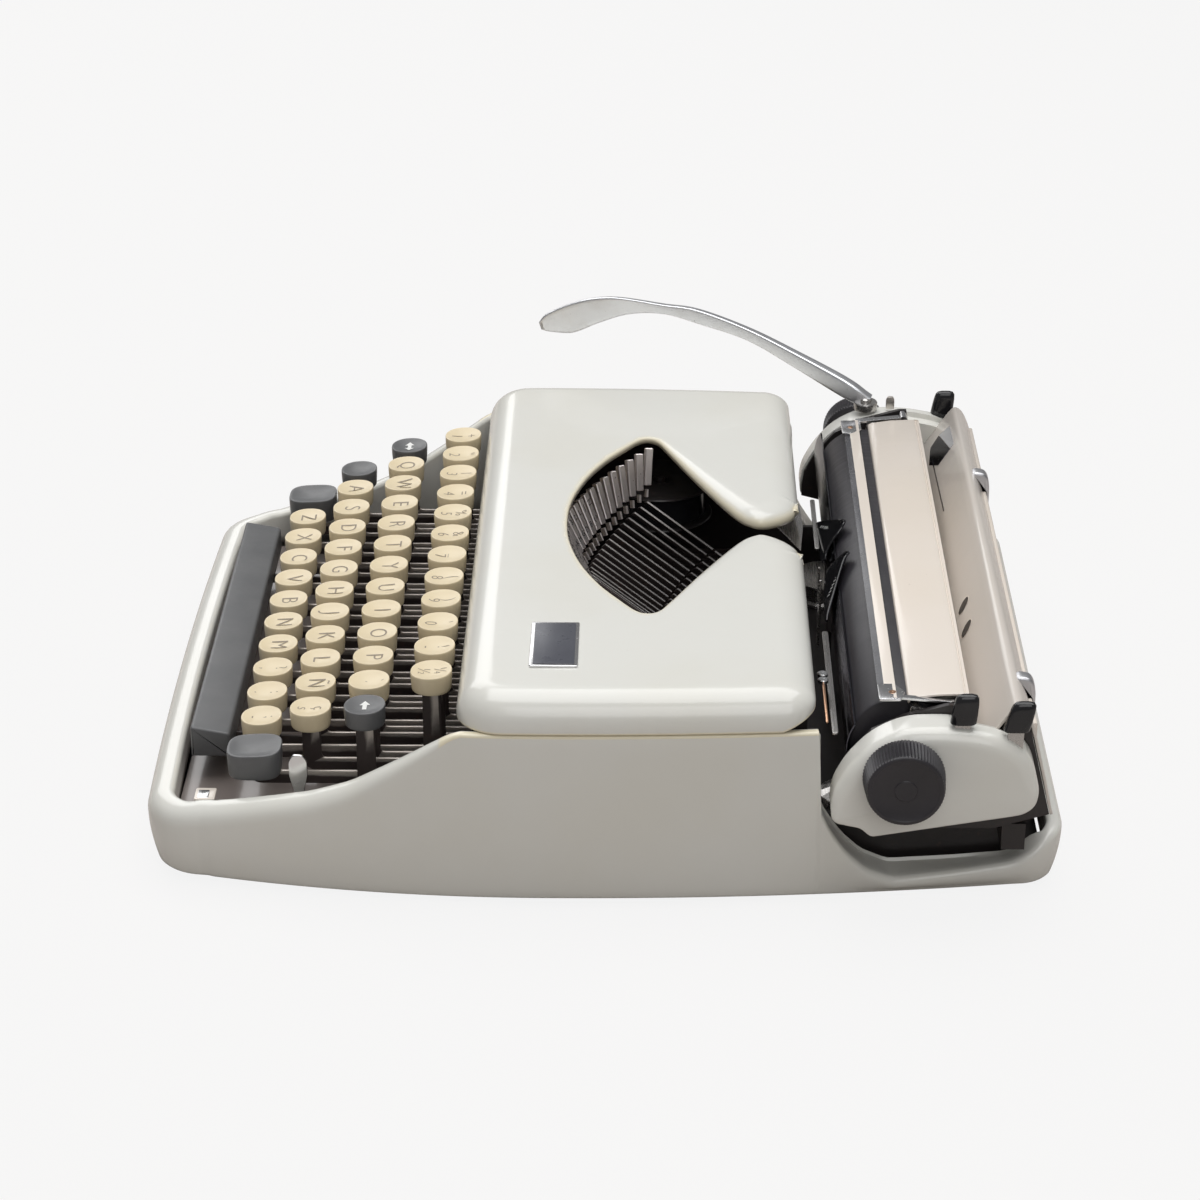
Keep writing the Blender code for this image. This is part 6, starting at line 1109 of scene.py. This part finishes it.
# outlines in Y and Z of the margin rail and of a stop's clamp on it
RAIL = [(145.6, 64.3), (145.6, 69.2), (146.0, 69.4), (147.6, 69.4), (148, 69.0), (148, 64.5), (147.6, 64.1),
        (146.0, 64.1)]
CLAMP = [(147.3, 63.4), (147.3, 69.4), (143.2, 70.3), (141.6, 73.6), (141.9, 76.2), (143.6, 77.3),
         (147.2, 76.6), (148.6, 74.6), (149.2, 70.6), (149.2, 63.4)]
piece("rail_bar", slab(rounded(RAIL, 0.2, 2), 256, "X", (9, 0, 0), 0.3, 2), IVORY, "carriage", "margin_rail")
for node, x in (("margin_stop_left", -58.0), ("margin_stop_right", 116.0)):
    piece(node + "_clamp", slab(rounded(CLAMP, 1.4, 5), 5.8, "X", (x, 0, 0), 1.1, 4), SATIN, node, node)


# a release lever's grip: height, half width and half depth of each row
GRIP = ((0, 2.0, 4.0), (0.5, 2.25, 4.35), (4, 2.2, 4.3), (7.5, 2.0, 4.1), (9.4, 1.75, 3.8), (10.3, 1.3, 3.1),
        (10.75, 0.6, 1.8), (10.8, 0.1, 0.5))


def release_grip(x, y, z, lean):
    """A grip: a squared round in X and Y drawn in towards its top, which leans by a share of its height."""
    u, v = square_turn(48, 0.6)
    return skin([np.column_stack([x + w * u, y + d * v + lean * h, np.full(48, z + h)]) for h, w, d in GRIP],
                caps=(True, True))


for node, x, y, top, lean in (("paper_release_lever", 147.7, 121.9, 74.8, 0.12),
                              ("carriage_release_right", 147.7, 139.6, 72.2, 0.25),
                              ("carriage_release_left", -129.7, 136.0, 70.2, 0.15)):
    piece(node + "_grip", release_grip(x, y, top, lean), GLOSS, node, node)
    piece(node + "_stem", beam((x, y - 0.5, 59.2), (x, y, top + 1), 1.2, 5.5, 0.2), STEEL, node)

BAIL_LOW, BAIL_HIGH, BAIL_FACE = -106.8, 134.8, 18.25
SCALE_START, SCALE_STEP = -100, 2.6
piece("bail_scale", strip(arc(*AXLE, BAIL_FACE, 113.5, 106.5, 14), BAIL_LOW, BAIL_HIGH, -0.7, 0.15), SCALE,
      "paper_bail", "paper_bail")
piece("bail_strip", strip(arc(*AXLE, BAIL_FACE, 106.5, 95.2, 20), BAIL_LOW, BAIL_HIGH, -0.9, 0.15), IVORY,
      "paper_bail")
ticks, numbers = [], []
for k in range(88):
    x = SCALE_START + k * SCALE_STEP
    short = arc(*AXLE, BAIL_FACE + 0.2, 113.0, 109.8 if k % 5 else 108.2, 4)
    ticks.append(strip(short, x - 0.16, x + 0.16, -0.3, 0.04))
    if k in range(5, 85, 10):
        flat, faces = strokes(str(k), 2.2, 0.0, 2)
        y = 96.6 + 0.5 * flat[:, 1]
        z = AXLE[1] + np.sqrt(18.62 ** 2 - (y - AXLE[0]) ** 2)
        numbers.append((np.stack([x + 0.85 * flat[:, 0], y, z], 1), faces))
piece("bail_ticks", ticks, WHITE, "paper_bail")
piece("bail_numbers", numbers, WHITE, "paper_bail", closed=False)
GUSSETS = ([(124.4, 94.8), (135.8, 94.8), (135.8, 102.3), (130, 103.8), (124.4, 100.5)],
           [(-93.6, 94), (-106.6, 94), (-106.6, 101.8), (-98, 101.8), (-93.6, 98)])
piece("bail_brackets", [plate(corners, 77.0, 0.9) for corners in GUSSETS] + [
    beam((133.2, 101, 77), (134.9, 120.8, 76.2), 2.4, 0.9),
    beam((-107, 100, 76.9), (-112.6, 118, 76.4), 3.0, 0.9),
    tube([(134.9, 119.5, 75.2), (136.2, 119.5, 75.2)], 1.7, 20),
    tube([(-118.2, 119.5, 75.2), (-112, 119.5, 75.2)], 1.7, 20)], CHROME, "paper_bail")
piece("bail_rivets", [bolt(130.5, 99.6, 77.3, 1.5, 0.3), bolt(-99.5, 97.5, 77.3, 1.3, 0.3)], COPPER,
      "paper_bail")
LOWER_FLAP = [(-110.8, 134.1, 69.1), (-110.5, 130.9, 63.7), (-97.5, 129.6, 61.9), (-88.2, 132.2, 66),
              (-89.5, 136.6, 72.6)]
UPPER_FLAP = [(-110.8, 134.3, 69.3), (-89.5, 136.7, 72.8), (-90.0, 138.2, 74.6), (-108, 138.0, 74.5)]
piece("support_lower", facet(LOWER_FLAP), SMOKED, "paper_support", "paper_support")
piece("support_upper", facet(UPPER_FLAP), SATIN, "paper_support")

# the return lever: place along X, then Y and Z of its upper curve and of its lower one
BLADE = np.array([(-160.2, -28.3, 98.2, -27.3, 95.1), (-160.1, -25.8, 101.4, -23.7, 94.3),
                  (-159.6, -21.2, 104.2, -16.1, 93.9), (-158.6, -13.3, 107.7, -11.3, 95.4),
                  (-157.5, -4.5, 110.1, -3.1, 99.4), (-155.7, 6, 110.8, 9.3, 103.9),
                  (-152.8, 22.8, 109.2, 23.5, 105.1), (-150.1, 37.3, 107.9, 37.8, 101.9),
                  (-145.4, 58.1, 101.5, 58.1, 96.5), (-138, 78.8, 93.4, 78.2, 87.2),
                  (-129.5, 97.9, 85.7, 95.9, 79.0), (-127.2, 107.5, 79.5, 104.5, 75.2)])


def return_blade():
    """The lever's blade: an eased rectangle between an upper and a lower curve, wider towards the hub."""
    top, low = smooth_line(BLADE[:, :3], 120), smooth_line(BLADE[:, (0, 3, 4)], 120)
    wide = np.interp(np.linspace(0, 1, 120), (0, 0.04, 0.4, 0.7, 0.95, 1), (0.9, 1.9, 2.1, 3.4, 5.4, 5.0))
    way = np.gradient((top + low) / 2, axis=0)
    way[:, 2] = 0
    way /= np.linalg.norm(way, axis=1, keepdims=True)
    side = np.cross((0, 0, 1), way)
    u, v = square_turn(28, 0.3)
    rings = (top + low)[:, None] / 2 + (top - low)[:, None] / 2 * v[None, :, None]
    return skin(rings + side[:, None] * (wide[:, None] / 2 * u)[:, :, None], caps=(True, True))


piece("return_lever_blade", return_blade(), LEVER_PALE, "return_lever", "return_lever", sharp=40)
HUB = [(0, 74.6), (4.7, 74.6), (4.8, 74.8), (4.8, 77.4), (4.5, 77.8), (2.4, 77.8), (2.3, 78.8), (1.7, 79.4),
       (0, 79.5)]
piece("return_lever_hub", lathe(HUB, 40, "Z", (-126.2, 105, 0)), STEEL, "return_lever")
TAB = [(113.3, 74.6), (116.7, 74.6), (116.7, 78.6), (116.0, 79.9), (114.0, 79.9), (113.3, 78.6)]
piece("space_selector_tab", slab(rounded(TAB, 0.4, 3), 1.3, "X", (-126.2, 0, 0), 0.25, 2), NICKEL,
      "line_space_selector", "line_space_selector")
FEED = (106.4, 36.55)
piece("feed_roller_rubber", turned(*FEED, [(-100, 0), (-100, 4.2), (-99.6, 4.7), (118, 4.7), (118.4, 4.2),
                                           (118.4, 0)], 48), FOOT_RUBBER, "feed_roller", "feed_roller")
piece("feed_roller_pins", turned(*FEED, [(-118.2, 0), (-118.2, 1.6), (136.2, 1.6), (136.2, 0)], 20), STEEL,
      "feed_roller")


# small pieces of the body

PLATE, FIELD = oblong(87.7, -22.8, 121.3, -6.2), oblong(88.9, -21.6, 120.1, -7.4)
CATCH, LATCH = oblong(109.4, -139.6, 117.6, -132.4), oblong(111.2, -138.6, 116.8, -134.6)
piece("name_plate_rim", slab(rounded(PLATE, 0.8, 4), 0.8, "Z", (0, 0, 81.35), 0.25, 3), CHROME, "cover",
      "name_plate")
piece("name_plate_field", slab(rounded(FIELD, 0.5, 4), 0.4, "Z", (0, 0, 81.75), 0.1, 2), BADGE, "cover")
piece("case_catch_block", [slab(rounded(CATCH, 0.8, 3), 1.2, "Z", (0, 0, 26.5), 0.25, 2),
                           beam((113.5, -136, 17.6), (113.5, -136, 26.4), 5.5, 4.5, 0.4)], IVORY, "housing",
      "case_catch")
piece("case_catch_latch", slab(rounded(LATCH, 0.5, 3), 0.5, "Z", (0, 0, 27.0), 0.12, 2), CHROME, "housing")
SELECTOR = [(-104.4, 12.9), (-100.6, 12.9), (-100.6, 33), (-99.3, 38), (-99.3, 43.5), (-100.8, 46.2),
            (-104.2, 46.2), (-105.7, 43.5), (-105.7, 38), (-104.4, 33)]
piece("ribbon_selector_tab", slab(rounded(SELECTOR, 0.8, 4), 1.3, "X", (120.2, 0, 0), 0.3, 3), CHROME,
      "ribbon_selector", "ribbon_selector")


# stage

floor_mesh = bpy.data.meshes.new("floor")
floor_mesh.from_pydata([(x, y, 0) for x, y in oblong(-6, -6, 6, 6)], [], [(0, 1, 2, 3)])
floor = bpy.data.objects.new("floor", floor_mesh)
bpy.context.scene.collection.objects.link(floor)
STAGE = Finish("pale_floor", base_color=(0.52, 0.48, 0.45), roughness=0.9)
white = STAGE.node("ShaderNodeEmission", {}, {"Color": (0.972, 0.972, 0.972)})
STAGE.show_plain(white, "Principled BSDF", "Material Output", 0.90)
floor_mesh.materials.append(STAGE.material)


def lamp(name, place, aim_at, size, watts):
    """A soft square lamp that faces a point."""
    data = bpy.data.lights.new(name, "AREA")
    data.size = size
    data.energy = watts
    made = bpy.data.objects.new(name, data)
    made.location = place
    made.rotation_euler = (Vector(aim_at) - Vector(place)).to_track_quat("-Z", "Y").to_euler()
    bpy.context.scene.collection.objects.link(made)


lamp("ceiling_lamp", (-0.15, 0.05, 1.7), (0, 0, 0), 1.7, 26.5)
lamp("right_lamp", (1.15, 0.25, 0.95), (0.1, 0.1, 0), 0.8, 3.7)
lamp("left_lamp", (-1.3, -0.6, 0.9), (0, 0, 0.05), 0.9, 5.0)

world = bpy.data.worlds.new("studio")
bpy.context.scene.world = world
world.use_nodes = True
sky = Graph(world.node_tree)
sky.feed(sky.tree.nodes["Background"].inputs["Color"], (0.9, 0.9, 0.9))
sky.feed(sky.tree.nodes["Background"].inputs["Strength"], 0.20)
white = sky.node("ShaderNodeBackground", {}, {"Color": (0.922, 0.922, 0.922)})
sky.show_plain(white, "Background", "World Output")

bpy.context.scene.view_settings.view_transform = "Standard"
